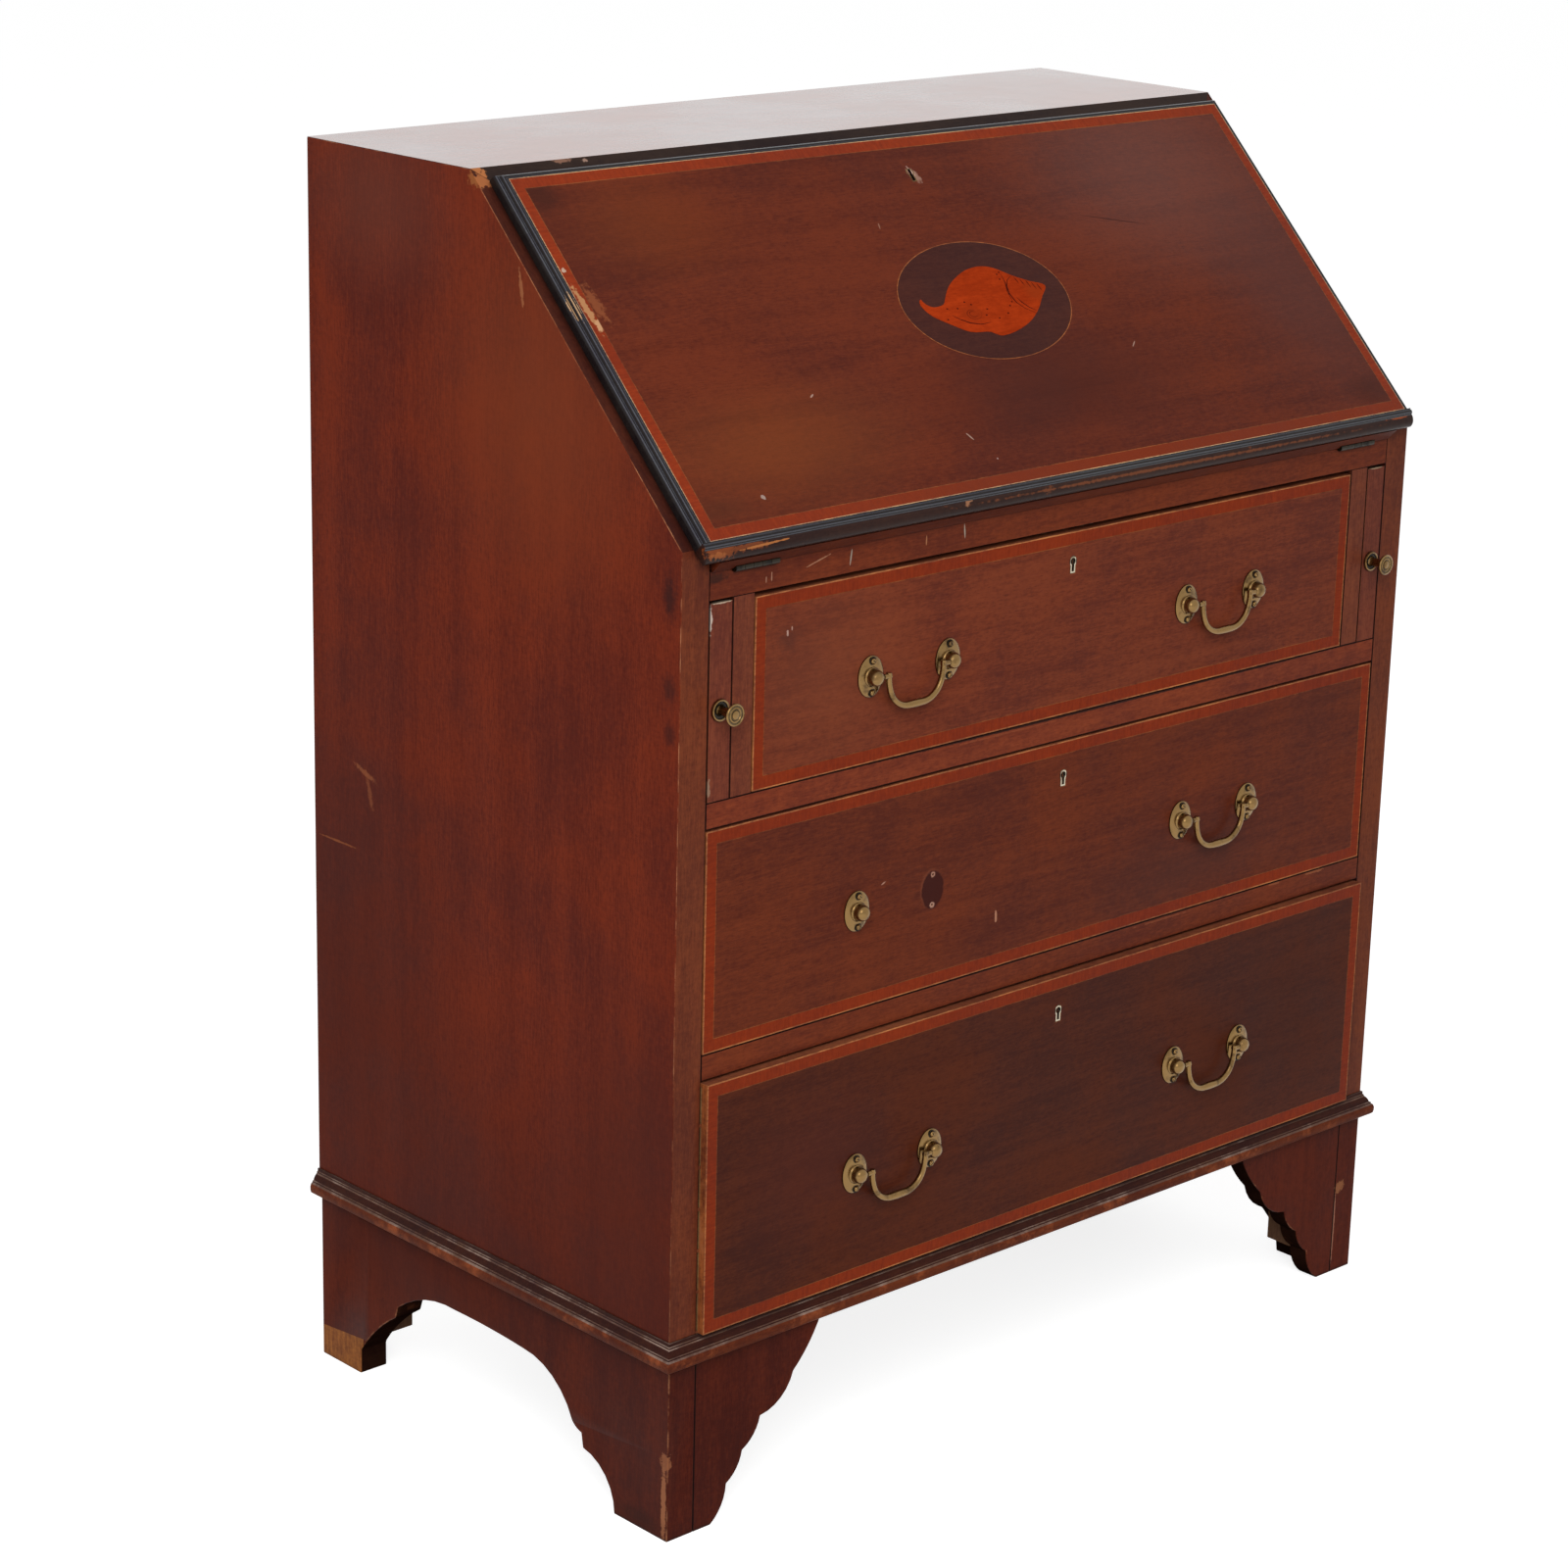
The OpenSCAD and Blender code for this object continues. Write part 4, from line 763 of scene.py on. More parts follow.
class Piece:
    """A piece of the desk on the bench: an object that is shaped step by step with the tools."""

    def __init__(self, obj: bpy.types.Object, name: str) -> None:
        """Takes an object on the bench.

        Args:
            obj: The object.
            name: The piece's name, which the object and its mesh take too.
        """
        obj.name = obj.data.name = name
        self.obj = obj
        self.name = name

    def alone(self) -> None:
        """Makes this object the active one and the only one selected."""
        bpy.ops.object.select_all(action="DESELECT")
        self.obj.select_set(True)
        bpy.context.view_layer.objects.active = self.obj

    @contextmanager
    def edited(self) -> Iterator[None]:
        """Edit mode on this object, with everything selected."""
        self.alone()
        bpy.ops.object.mode_set(mode="EDIT")
        bpy.ops.mesh.select_all(action="SELECT")
        yield
        bpy.ops.object.mode_set(mode="OBJECT")

    @classmethod
    def block(cls, name: str, low: Vector, high: Vector) -> "Piece":
        """A block between two corners.

        Args:
            name: The piece's name.
            low: Its lowest corner in metres.
            high: Its highest corner.

        Returns:
            The block.
        """
        bpy.ops.object.select_all(action="DESELECT")
        bpy.ops.mesh.primitive_cube_add(size=1, location=(low + high) / 2, scale=high - low)
        bpy.ops.object.transform_apply(location=True, rotation=True, scale=True)
        return cls(bpy.context.object, name)

    @classmethod
    def drawn(cls, name: str, points: Sequence[Point2], filled: bool = True) -> "Piece":
        """A flat face or a loop in the XY plane.

        Args:
            name: The piece's name.
            points: Its corners in millimetres.
            filled: Whether it is a face, or else a bare loop.

        Returns:
            The face or loop.
        """
        bpy.ops.object.select_all(action="DESELECT")
        fill = "NGON" if filled else "NOTHING"
        bpy.ops.mesh.primitive_circle_add(vertices=len(points), fill_type=fill)
        piece = cls(bpy.context.object, name)
        for vertex, point in zip(piece.obj.data.vertices, points):
            vertex.co = mm(*point, 0)
        return piece

    @classmethod
    def plate(cls, name: str, points: Sequence[Point2], thickness: float) -> "Piece":
        """A plate that rises from the XY plane.

        Args:
            name: The piece's name.
            points: Its outline in millimetres.
            thickness: Its thickness in millimetres.

        Returns:
            The plate.
        """
        piece = cls.drawn(name, points)
        with piece.edited():
            bpy.ops.mesh.extrude_region_move(TRANSFORM_OT_translate={"value": mm(0, 0, thickness)})
        return piece.righted()

    @classmethod
    def turned(cls, name: str, profile: Sequence[Point2], steps: int = 40) -> "Piece":
        """A turned solid about the Z axis.

        Args:
            name: The piece's name.
            profile: Half its section as (radius, height) in millimetres, from the axis round to it.
            steps: Number of faces round it.

        Returns:
            The solid.
        """
        piece = cls.drawn(name, profile, filled=False)
        for vertex, (radius, height) in zip(piece.obj.data.vertices, profile):
            vertex.co = mm(radius, 0, height)
        with piece.edited():
            bpy.ops.mesh.spin(steps=steps, angle=2 * math.pi, center=(0, 0, 0), axis=(0, 0, 1))
        return piece.righted()

    @classmethod
    def rod(cls, name: str, path: Sequence[Sequence[float]], radii: Sequence[float],
            sides: int = 4) -> "Piece":
        """A bent rod.

        Args:
            name: The piece's name.
            path: Points of its middle in millimetres.
            radii: Its radius at each point.
            sides: How finely its round section is drawn.

        Returns:
            The rod, closed at its ends.
        """
        curve = bpy.data.curves.new(name, "CURVE")
        curve.dimensions = "3D"
        curve.bevel_depth = MM
        curve.bevel_resolution = sides
        curve.use_fill_caps = True
        line = curve.splines.new("POLY")
        line.points.add(len(path) - 1)
        for point, place, radius in zip(line.points, path, radii):
            point.co = (*mm(*place), 1)
            point.radius = radius
        obj = bpy.data.objects.new(name, curve)
        bpy.context.scene.collection.objects.link(obj)
        piece = cls(obj, name)
        piece.alone()
        bpy.ops.object.convert(target="MESH")
        piece.obj = bpy.context.object
        return piece.righted()

    @classmethod
    def strip(cls, name: str, profile: Sequence[Point2], start: Vector, run: Vector, inward: Vector,
              up: Vector) -> "Piece":
        """A length of moulding.

        Args:
            name: The piece's name.
            profile: Outline as (distance in from the outer edge, height) in millimetres.
            start: The outer edge's first end.
            run: From there to its other end.
            inward: The way of the profile's first axis.
            up: The way of its second axis.

        Returns:
            The length, with square ends.
        """
        piece = cls.drawn(name, profile)
        with piece.edited():
            bpy.ops.mesh.extrude_region_move(TRANSFORM_OT_translate={"value": (0, 0, run.length)})
        ahead = run.normalized()
        turn = Matrix((inward, up, ahead)).transposed().to_4x4()
        return piece.moved(Matrix.Translation(start) @ turn).righted()

    @classmethod
    def copy_of(cls, node: str, name: str = "", flat: float = 0.5) -> "Piece":
        """A copy of a solid of the frame, merged, with its flat faces made whole.

        Args:
            node: The frame's node.
            name: The new piece's name, or the node's with _finished.
            flat: Degrees under which two faces count as one.

        Returns:
            The new piece.
        """
        source = frame["nodes"][node]
        obj = bpy.data.objects.new(name or node + "_finished", source.data.copy())
        bpy.context.scene.collection.objects.link(obj)
        obj.data.materials.clear()
        piece = cls(obj, obj.name)
        with piece.edited():
            bpy.ops.mesh.remove_doubles(threshold=1e-6)
            bpy.ops.mesh.customdata_custom_splitnormals_clear()
            bpy.ops.mesh.dissolve_limited(angle_limit=math.radians(flat))
        return piece

    def righted(self) -> "Piece":
        """Merges doubled points, drops empty faces and turns all faces outward.

        Returns:
            This piece.
        """
        with self.edited():
            bpy.ops.mesh.remove_doubles(threshold=1e-6)
            bpy.ops.mesh.dissolve_degenerate(threshold=1e-7)
            bpy.ops.mesh.select_all(action="SELECT")
            bpy.ops.mesh.normals_make_consistent(inside=False)
        return self

    def moved(self, matrix: Matrix) -> "Piece":
        """Turns and moves the piece, mirrored faces turned right again."""
        self.obj.data.transform(matrix)
        return self.righted() if matrix.determinant() < 0 else self

    def pick(self, test: FaceTest) -> None:
        """Selects faces, in edit mode.

        Args:
            test: Picks them by centre and normal.
        """
        bpy.ops.mesh.select_mode(type="FACE")
        bpy.ops.mesh.select_all(action="DESELECT")
        shape = bmesh.from_edit_mesh(self.obj.data)
        for face in shape.faces:
            face.select_set(test(face.calc_center_median(), face.normal))
        bmesh.update_edit_mesh(self.obj.data)

    def rings(self, test: FaceTest, widths: Sequence[float], rises: Sequence[float] = ()) -> "Piece":
        """Draws frames one inside the other on the picked faces.

        Args:
            test: Picks the faces by centre and normal.
            widths: Width of each frame in millimetres.
            rises: How far each frame's inner edge stands out in millimetres, or flat.

        Returns:
            This piece.
        """
        with self.edited():
            self.pick(test)
            for width, rise in zip(widths, rises or [0.0] * len(widths)):
                bpy.ops.mesh.inset(thickness=width * MM, depth=rise * MM, use_even_offset=True)
        return self

    def sliced(self, at: Vector, normal: Vector, off: bool = True) -> "Piece":
        """Draws the line where a plane crosses the piece, or saws off what lies past it.

        Args:
            at: A point of the plane.
            normal: The way from the plane to what is past it.
            off: Whether that is sawn off, and the cut closed.

        Returns:
            This piece.
        """
        with self.edited():
            bpy.ops.mesh.bisect(plane_co=at, plane_no=normal, use_fill=off, clear_outer=off)
        return self

    def carved(self, *tools: "Piece") -> "Piece":
        """Cuts shapes out of the piece.

        Args:
            tools: The shapes, which are used up. The cut takes their finish.

        Returns:
            This piece.
        """
        for tool in tools:
            self.alone()
            cut = self.obj.modifiers.new("cut", "BOOLEAN")
            cut.object = tool.obj
            cut.operation = "DIFFERENCE"
            cut.solver = "EXACT"
            cut.material_mode = "TRANSFER"
            bpy.ops.object.modifier_apply(modifier=cut.name)
            bpy.data.objects.remove(tool.obj)
        return self

    def joined(self, *others: "Piece") -> "Piece":
        """Takes other pieces into this object.

        Args:
            others: The other pieces, which are used up.

        Returns:
            This piece.
        """
        self.alone()
        for other in others:
            other.obj.select_set(True)
        bpy.ops.object.join()
        return self

    def eased(self, width: float, finish: Finish | None = None, segments: int = 2,
              angle: float = 35, where: Callable[[Vector], bool] | None = None) -> "Piece":
        """Rounds the sharp edges, and gives the roundings a finish of their own.

        Args:
            width: Width of the rounding in millimetres.
            finish: Finish of the rounding, or None for its neighbours'.
            segments: Steps of the rounding.
            angle: Degrees over which an edge is sharp.
            where: Picks the edges by their middle, or None for all.

        Returns:
            This piece.
        """
        self.alone()
        ease = self.obj.modifiers.new("ease", "BEVEL")
        ease.width = width * MM
        ease.segments = segments
        ease.limit_method = "WEIGHT" if where else "ANGLE"
        ease.angle_limit = math.radians(angle)
        if where:
            self.weigh(lambda edge: edge.calc_face_angle(0.0) > ease.angle_limit
                       and where((edge.verts[0].co + edge.verts[1].co) / 2))
        ease.use_clamp_overlap = True
        ease.material = self.slot_of(finish) if finish else -1
        bpy.ops.object.modifier_apply(modifier=ease.name)
        return self

    def weigh(self, test: Callable[[bmesh.types.BMEdge], bool]) -> None:
        """Marks the edges that a rounding takes.

        Args:
            test: Whether an edge is one of them.
        """
        shape = bmesh.new()
        shape.from_mesh(self.obj.data)
        weight = shape.edges.layers.float.new("bevel_weight_edge")
        for edge in shape.edges:
            edge[weight] = float(test(edge))
        shape.to_mesh(self.obj.data)
        shape.free()

    def smoothed(self, angle: float = 38) -> "Piece":
        """Shades curved faces smooth and leaves the flat ones flat.

        Args:
            angle: Degrees over which an edge stays sharp.

        Returns:
            This piece.
        """
        self.alone()
        bpy.ops.object.shade_smooth_by_angle(angle=math.radians(angle))
        level = self.obj.modifiers.new("level", "WEIGHTED_NORMAL")
        level.keep_sharp = True
        bpy.ops.object.modifier_apply(modifier=level.name)
        return self

    def slot_of(self, finish: Finish) -> int:
        """The material slot that holds a finish, added if it is new.

        Args:
            finish: The finish.

        Returns:
            The slot's number.
        """
        material = finish.material()
        slots = self.obj.data.materials
        if material.name not in slots:
            slots.append(material)
        return slots.find(material.name)

    def dressed(self, finish: Finish, where: FaceTest | None = None) -> "Piece":
        """Gives faces a finish.

        Args:
            finish: The finish.
            where: Picks the faces by centre and normal, or None for all.

        Returns:
            This piece.
        """
        number = self.slot_of(finish)
        for face in self.obj.data.polygons:
            if where is None or where(face.center, face.normal):
                face.material_index = number
        return self

    def fitted(self, body: str, nodes: Sequence[str] = (), slot: str = "mahogany") -> "Piece":
        """Fits the piece to a body of the frame.

        Args:
            body: The body that it rides on.
            nodes: The frame's nodes that it stands for.
            slot: The record's material slot; not used.

        Returns:
            This piece.
        """
        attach(self.obj, body)
        if nodes:
            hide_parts(*nodes)
        faces = sum(len(face.vertices) - 2 for face in self.obj.data.polygons)
        log.info("%-28s rides on %-18s %6d triangles", self.name, body, faces)
        return self


@dataclass(frozen=True)
class Veneers:
    """The veneers of a panel, from its edge inward, with the crossband's grain out to the edge.

    Attributes:
        core: Wood under them.
        string: Wood of the line on the edge.
        ends: Wood of the crossband at the left and right ends.
        edges: Wood of the crossband at the lower and upper edges.
        field: Wood of the field.
        widths: Widths of the string, the crossband and the fine line inside it, in millimetres.
    """

    core: Wood
    string: Wood
    ends: Wood
    edges: Wood
    field: Wood
    widths: Point3

    def lay(self, piece: "Piece", test: FaceTest, inset: Callable[[Vector], Point2]) -> None:
        """Draws the veneers' outlines on a panel and gives them their woods.

        Args:
            piece: The panel.
            test: Picks its face by centre and normal.
            inset: How far a point lies inside the nearest end and the nearest edge, in metres.
        """
        piece.rings(test, self.widths)
        piece.dressed(self.core)
        string, band, line = self.widths
        for face in piece.obj.data.polygons:
            if not test(face.center, face.normal):
                continue
            end, edge = inset(face.center)
            inward = min(end, edge) / MM
            if inward < string:
                finish = self.string
            elif inward < string + band:
                finish = self.ends if end < edge else self.edges
            elif inward < string + band + line:
                finish = STRING_FAINT
            else:
                finish = self.field
            face.material_index = piece.slot_of(finish)


def facing(axis: Vector, share: float = 0.9) -> FaceTest:
    """A test for faces that look along an axis."""
    return lambda _, normal: normal.dot(axis) > share


def dress_node(node: str, finish: Finish) -> None:
    """Gives a solid of the frame a finish, its shape being right as it is.

    Args:
        node: The frame's node.
        finish: The finish.
    """
    slots = frame["nodes"][node].material_slots
    if not slots:
        frame["nodes"][node].data.materials.append(None)
        slots = frame["nodes"][node].material_slots
    for slot in slots:
        slot.material = finish.material()
    log.info("%-28s keeps its shape, finished as %s", node, finish.name)


# ---------------------------------------------------------------- the slope


class Slope:
    """The plane that the lid lies on, found from the frame.

    Attributes:
        foot: The middle of its lower edge.
        angle: Its angle to the floor.
        lay: The matrix that lays flat work on it.
        back: The matrix that brings work from it back to the flat.
    """

    HINGE_UNDER = 17

    def __init__(self) -> None:
        """Reads the slope's foot, its angle and the hinge from the frame."""
        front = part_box("side_left")[0].y
        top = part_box("top_board")[0]
        hinge = next(j for j in frame["joints"] if j["name"] == "fall_hinge")["pos_m"]
        self.foot = Vector((0, front, hinge[2] + self.HINGE_UNDER * MM))
        self.angle = math.atan2(top.z - self.foot.z, top.y - self.foot.y)
        self.lay = Matrix.Translation(self.foot) @ Matrix.Rotation(self.angle, 4, "X")
        self.back = self.lay.inverted()

    def box(self, node: str) -> tuple[Vector, Vector]:
        """The box of a node along x, s and h.

        Args:
            node: The frame's node.

        Returns:
            Its lowest and highest corner.
        """
        points = [self.back @ v.co for v in frame["nodes"][node].data.vertices]
        return (Vector([min(p[i] for p in points) for i in range(3)]),
                Vector([max(p[i] for p in points) for i in range(3)]))


# ---------------------------------------------------------------- case


@dataclass
class Case:
    """The carcass: sides, top, bed, rails, uprights, base moulding and bracket feet.

    Attributes:
        arris: Width of a rubbed arris.
        repair: Height and length of the block let into the left rear foot.
        cuts: Half width of the middle stretch where a lock's cuts stay sharp.
        base: Section of the base moulding, as distance in from its outer edge and height.
    """

    arris: float = 0.8
    repair: Point2 = (46, 50)
    cuts: float = 60
    base: tuple[Point2, ...] = (
        (8.5, 0), (2.5, 0.5), (0.6, 2.0), (0, 4.5), (0, 7.2), (0.7, 9.2), (2.0, 10.3), (2.1, 11.3),
        (3.2, 11.6), (3.6, 13.0), (4.4, 14.6), (5.6, 16.0), (6.4, 16.8), (6.4, 17.8), (7.2, 18.2),
        (7.3, 20.5), (8.5, 20.5))

    def board(self, node: str, finish: Wood, arris: float = 0.0, slot: str = "mahogany") -> Piece:
        """One board or group of boards of the frame, with rubbed arrises.

        Args:
            node: The frame's node.
            finish: Its wood.
            arris: Width of the rounding, or 0 for the case's own.
            slot: The record's material slot; not used.

        Returns:
            The finished piece, not yet fitted.
        """
        piece = Piece.copy_of(node).dressed(finish)
        piece.eased(arris or self.arris, finish.worn()).smoothed()
        return piece

    def build(self) -> None:
        """Makes every board of the case that shows."""
        self.sides()
        self.top()
        self.front_frame()
        self.base_moulding()
        self.feet()
        for node in ("back_boards", "bottom_board"):
            self.board(node, OLD_PINE, 0.6).fitted("case", [node], "carcass_wood")
        for node in ("drawer_runners", "drawer_stops", "slide_stops"):
            dress_node(node, PALE)
        # the hinges under the lid are dark brass: tarnish, with painted shade
        for node in ("bed_hinge_leaves", "hinge_pins"):
            dress_node(node, BRASS_TARNISH_AND_SHADE)
        dress_node("lock_strikes", LOCK_BRASS)

    def sides(self) -> None:
        """The side boards: inner front arrises and slope edges darkened as painted shade, outer arrises
        rubbed.
        """
        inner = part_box("side_right")[0].x
        chip = side_mark(219, 946, 7, 7, "#9a5c36", deep=30, ragged=1.3, soft=0.3)
        # the side's slope edge, under the lid's moulding, is painted near-black as painted shade; the chip on
        # it is wear
        shaded_slope_edge = replace(UPRIGHT, name="mahogany_slope_edge", tone="#3d1a12", grain=Grain.UP_SLOPE,
                             marks=(chip,))
        for node in ("side_left", "side_right"):
            piece = self.board(node, SIDE)
            front = (FRONT + 0.4) * MM
            piece.dressed(UPRIGHT, lambda c, n: n.y < -0.9 and c.y < front)
            piece.dressed(shaded_slope_edge, lambda c, n: n.y < -0.5 and n.z > 0.5)
            # the inner front arris by the drawers is near-black, painted shade
            piece.dressed(PAINTED_GAP_SHADE, lambda c, n: abs(c.x) < inner + MM and abs(n.x) < 0.95 and n.y < -0.2
                          and c.y < front + MM)
            piece.fitted("case", [node])

    def top(self) -> None:
        """The top board, glossy above, its edge over the lid blackened."""
        polished = replace(MAHOGANY, name="mahogany_top", polish=1.0, polish_gloss=0.16, shine=0.5,
                           tone="#6a3428", contrast=1.3, dust=0.06)
        black = replace(
            EBONISED, name="ebonised_top_edge", tone="#271a17", shine=0.06, polish=0.0, rubbed=0.2,
            marks=(Mark((-300, FRONT + 225, 953), (8, 12, 1.4), "#7d5a4a", ragged=1.6),
                   Mark((-280, FRONT + 225, 952), (3, 12, 1.4), "#8f7264", ragged=1.6),
                   Mark((-377, FRONT + 222, 950), (8, 14, 8), "#a5663c", ragged=1.2)))
        piece = self.board("top_board", polished)
        piece.dressed(black, lambda c, n: n.y < -0.5)
        piece.fitted("case", ["top_board"])

    def front_frame(self) -> None:
        """The writing bed, the rails and the uprights, their arrises darkened as painted shade."""
        bright = replace(RAIL, name="mahogany_rail_upper", tone="#75331f")
        partition = replace(UPRIGHT, name="mahogany_partition", tone="#6d3625")
        for node, finish in (("writing_bed", RAIL), ("rail_upper", bright), ("rail_lower", RAIL),
                             ("partitions", partition)):
            piece = Piece.copy_of(node).dressed(finish)
            # the rounded arrises are near-black, painted shade in the gaps
            # the lock's strikes and mortises, cut in the middle behind the front, stay sharp
            piece.eased(0.7, PAINTED_GAP_SHADE, where=lambda c: c.y < (FRONT + 1) * MM or abs(c.x) > self.cuts * MM)
            piece.smoothed().fitted("case", [node])

    def base_moulding(self) -> None:
        """The base moulding round three sides, mitred at the front corners."""
        low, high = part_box("base_moulding")
        up = Vector((0, 0, 1))
        dark = replace(MAHOGANY, name="base_moulding_wood", tone="#33160f", shine=0.05)
        nose = replace(dark, name="base_moulding_nose", tone="#5a2817", rub="#924c2c", rubbed=0.45,
                       shine=0.03)
        fillet = replace(dark, name="base_moulding_fillet", tone="#5c4238", rub="#8d766a", rubbed=0.5)
        front = Piece.strip("base_moulding_run", self.base, low.copy(), Vector((high.x - low.x, 0, 0)),
                            Vector((0, 1, 0)), up)
        strips = [front]
        for side in (-1, 1):
            mitre = Vector((side, 1, 0))
            corner = Vector((side * high.x, low.y, low.z))
            front.sliced(corner, mitre)
            run = Piece.strip("run", self.base, corner, Vector((0, high.y - low.y, 0)),
                              Vector((-side, 0, 0)), up)
            strips.append(run.sliced(corner, -mitre))
        front.joined(*strips[1:])
        front.dressed(dark)
        front.dressed(nose, lambda c, n: c.z < low.z + 9.5 * MM)
        front.dressed(fillet, lambda c, n: n.z > 0.7)
        front.smoothed(30).fitted("case", ["base_moulding"], "dark_moulding")

    def feet(self) -> None:
        """The bracket feet: stained faces, dark sawn edges, and a repair to the left rear foot."""
        rear = replace(PALE, name="pine_repair_block", tone="#8f5630", grain=Grain.UPRIGHT, streak=4,
                       contrast=1.4)
        foot = replace(
            SIDE, name="mahogany_bracket", tone="#4f1c10", streak=18, length=300,
            # the first soft patch is painted shade towards the rear
            marks=(side_mark(300, 110, 200, 60, "#471b12", deep=60, amount=0.5, ragged=0.1, soft=1.0),
                   side_mark(4, 30, 3, 36, "#a06544", deep=6, ragged=0.9, soft=0.3),
                   side_mark(2, 62, 6, 8, "#9c6040", deep=5, amount=0.8, ragged=1.2, soft=0.3),
                   side_mark(30, 8, 40, 12, "#2f1610", deep=60, amount=0.6, ragged=0.3, soft=0.9),
                   front_mark(HALF - 24, 40, 1.4, 36, "#a3705a", deep=6, ragged=0.6, soft=0.3),
                   front_mark(HALF - 20, 76, 6, 6, "#96603f", deep=6, amount=0.9, ragged=1.2, soft=0.3)))
        arris = foot.worn(0.45)
        for node in ("bracket_left", "bracket_right", "brackets_front"):
            piece = Piece.copy_of(node).dressed(foot).eased(self.arris, arris).smoothed()
            outer = (HALF - 1) * MM
            face = (FRONT + 0.9) * MM
            piece.dressed(EDGE_GRAIN, lambda c, n: abs(c.x) < outer and c.y > face)
            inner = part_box("side_right")[0].x
            # the arris along the side board's inner face is near-black, painted shade
            piece.dressed(PAINTED_GAP_SHADE, lambda c, n: abs(abs(c.x) - inner) < 1.2 * MM and n.y < -0.2)
            if node == "bracket_left":
                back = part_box(node)[1].y
                piece.sliced(Vector((0, back - self.repair[1] * MM, 0)), Vector((0, 1, 0.08)), off=False)
                piece.sliced(Vector((0, 0, self.repair[0] * MM)), Vector((0, 0.1, 1)), off=False)
                piece.dressed(rear, lambda c, n: c.y > back - (self.repair[1] + 1) * MM
                              and c.z < self.repair[0] * MM and n.x < -0.3)
            piece.fitted("case", [node])
        for node in ("brackets_rear", "glue_blocks"):
            self.board(node, OLD_PINE, 0.6).fitted("case", [node], "carcass_wood")


# ---------------------------------------------------------------- lid


@dataclass
class Lid:
    """The sloping lid: veneered board with crossband and shell, ebonised moulding, leather, lock.

    Attributes:
        slope: The plane that it lies on.
        widths: Widths of the line on its edge, the crossband and the fine line inside that.
        veneer: Thickness of the layer that holds the veneers.
        overhang: How far the board reaches past the slope's lower end.
        oval_at: Height of the inlaid oval's centre up the slope.
        oval_size: Width and height of the oval.
        oval_line: Width of the line round it.
        proud: How far the inlay stands over the veneer around it.
        key_down: How far the keyhole lies below the lid's upper edge.
        nose_face: Depth of the nose's worn lower face.
        tooled_in: How far the tooling starts inside the leather's edge.
        tooled: Widths of the outer gilt line, the gap and the inner gilt line.
        shell_edge: The shell's outline about the oval's centre.
        folds: Lines of the shell's folds.
        whorl: Middle of its whorl.
        turns: Radii of the whorl's turns.
        rib_heads: Upper ends of the ribs on its lip.
        dots: Places of the dark dots on it.
        reeds: Section of the moulding, as distance in from its outer edge and height.
        nose: Section of the moulding's lower run.
    """

    slope: Slope
    widths: Point3 = (0.6, 8.4, 0.5)
    veneer: float = 1.2
    overhang: float = 1.58
    oval_at: float = 151
    oval_size: Point2 = (168, 105)
    oval_line: float = 0.6
    proud: float = 0.12
    key_down: float = 25
    nose_face: float = 6.3
    tooled_in: float = 9
    tooled: Point3 = (1.6, 2.2, 0.7)
    shell_edge: tuple[Point2, ...] = (
        (-62, 8), (-60, 4), (-54, 0), (-43.5, 1), (-38, 6), (-30, 14), (-19, 21), (-4, 27), (12, 29),
        (25, 26), (39, 17.5), (52, 11), (66, 5), (57, -4), (45, -15), (30, -24), (12, -30), (-3, -32),
        (-9, -30), (-15, -27), (-32, -25), (-46, -17), (-60, -7), (-65, 3))
    folds: tuple[tuple[Point2, ...], ...] = (
        ((37.5, 17), (32, 14), (28, 9), (26.3, 2), (28, -6), (33, -12), (42, -18)),
        ((29, 20), (28.5, 12), (25.5, 4), (25, -4)),
        ((31, -1), (33, -6), (37.5, -11.5), (43, -15.5)),
        ((-41, -9), (-36, -13), (-28, -17.5), (-18, -20), (-8, -19.5)))
    whorl: Point2 = (-20, -10)
    turns: Point2 = (5.0, 8.5)
    rib_heads: tuple[Point2, ...] = ((40, 16), (44.5, 13.8), (49.5, 11.6), (54, 9.4), (58.5, 7.4))
    dots: tuple[Point2, ...] = (
        (-42, -3), (-32, -4), (-22, 0.6), (-17, -2.4), (-47, -12), (-8, -13), (-4, -8), (20, -8), (24, -5),
        (25, 20), (28, 21.5), (25, 15.5), (14, -14), (3, -17))
    reeds: tuple[Point2, ...] = (
        (6.7, 0), (6.7, 10.7), (5.9, 10.6), (5.6, 10.1), (5.3, 10.4), (4.7, 10.7), (3.9, 10.6), (3.1, 10.1),
        (2.7, 9.2), (2.6, 7.9), (2.3, 7.4), (2.0, 7.6), (1.3, 7.5), (0.6, 6.8), (0.2, 5.6), (0, 4.4),
        (0, 0))
    nose: tuple[Point2, ...] = (
        (11.5, 0), (11.5, 10.7), (10.9, 10.5), (10.6, 10.1), (10.0, 10.6), (9.2, 10.7), (8.3, 10.5),
        (7.5, 9.9), (7.1, 9.0), (6.6, 8.5), (6.2, 8.7), (5.0, 8.4), (3.5, 7.7), (2.0, 6.6), (0.8, 5.0),
        (0.2, 3.3), (0, 1.8), (0.4, 0.4), (1.2, 0))

    def build(self) -> None:
        """Makes the lid's pieces and lays them on the slope."""
        self.board()
        self.moulding()
        self.inlay()
        self.leather()
        for node in ("fall_lock", "fall_lock_bolt"):
            dress_node(node, HANDLE_BRASS)
        # the hinge leaves under the lid are dark brass: tarnish, with painted shade
        dress_node("fall_hinge_leaves", BRASS_TARNISH_AND_SHADE)

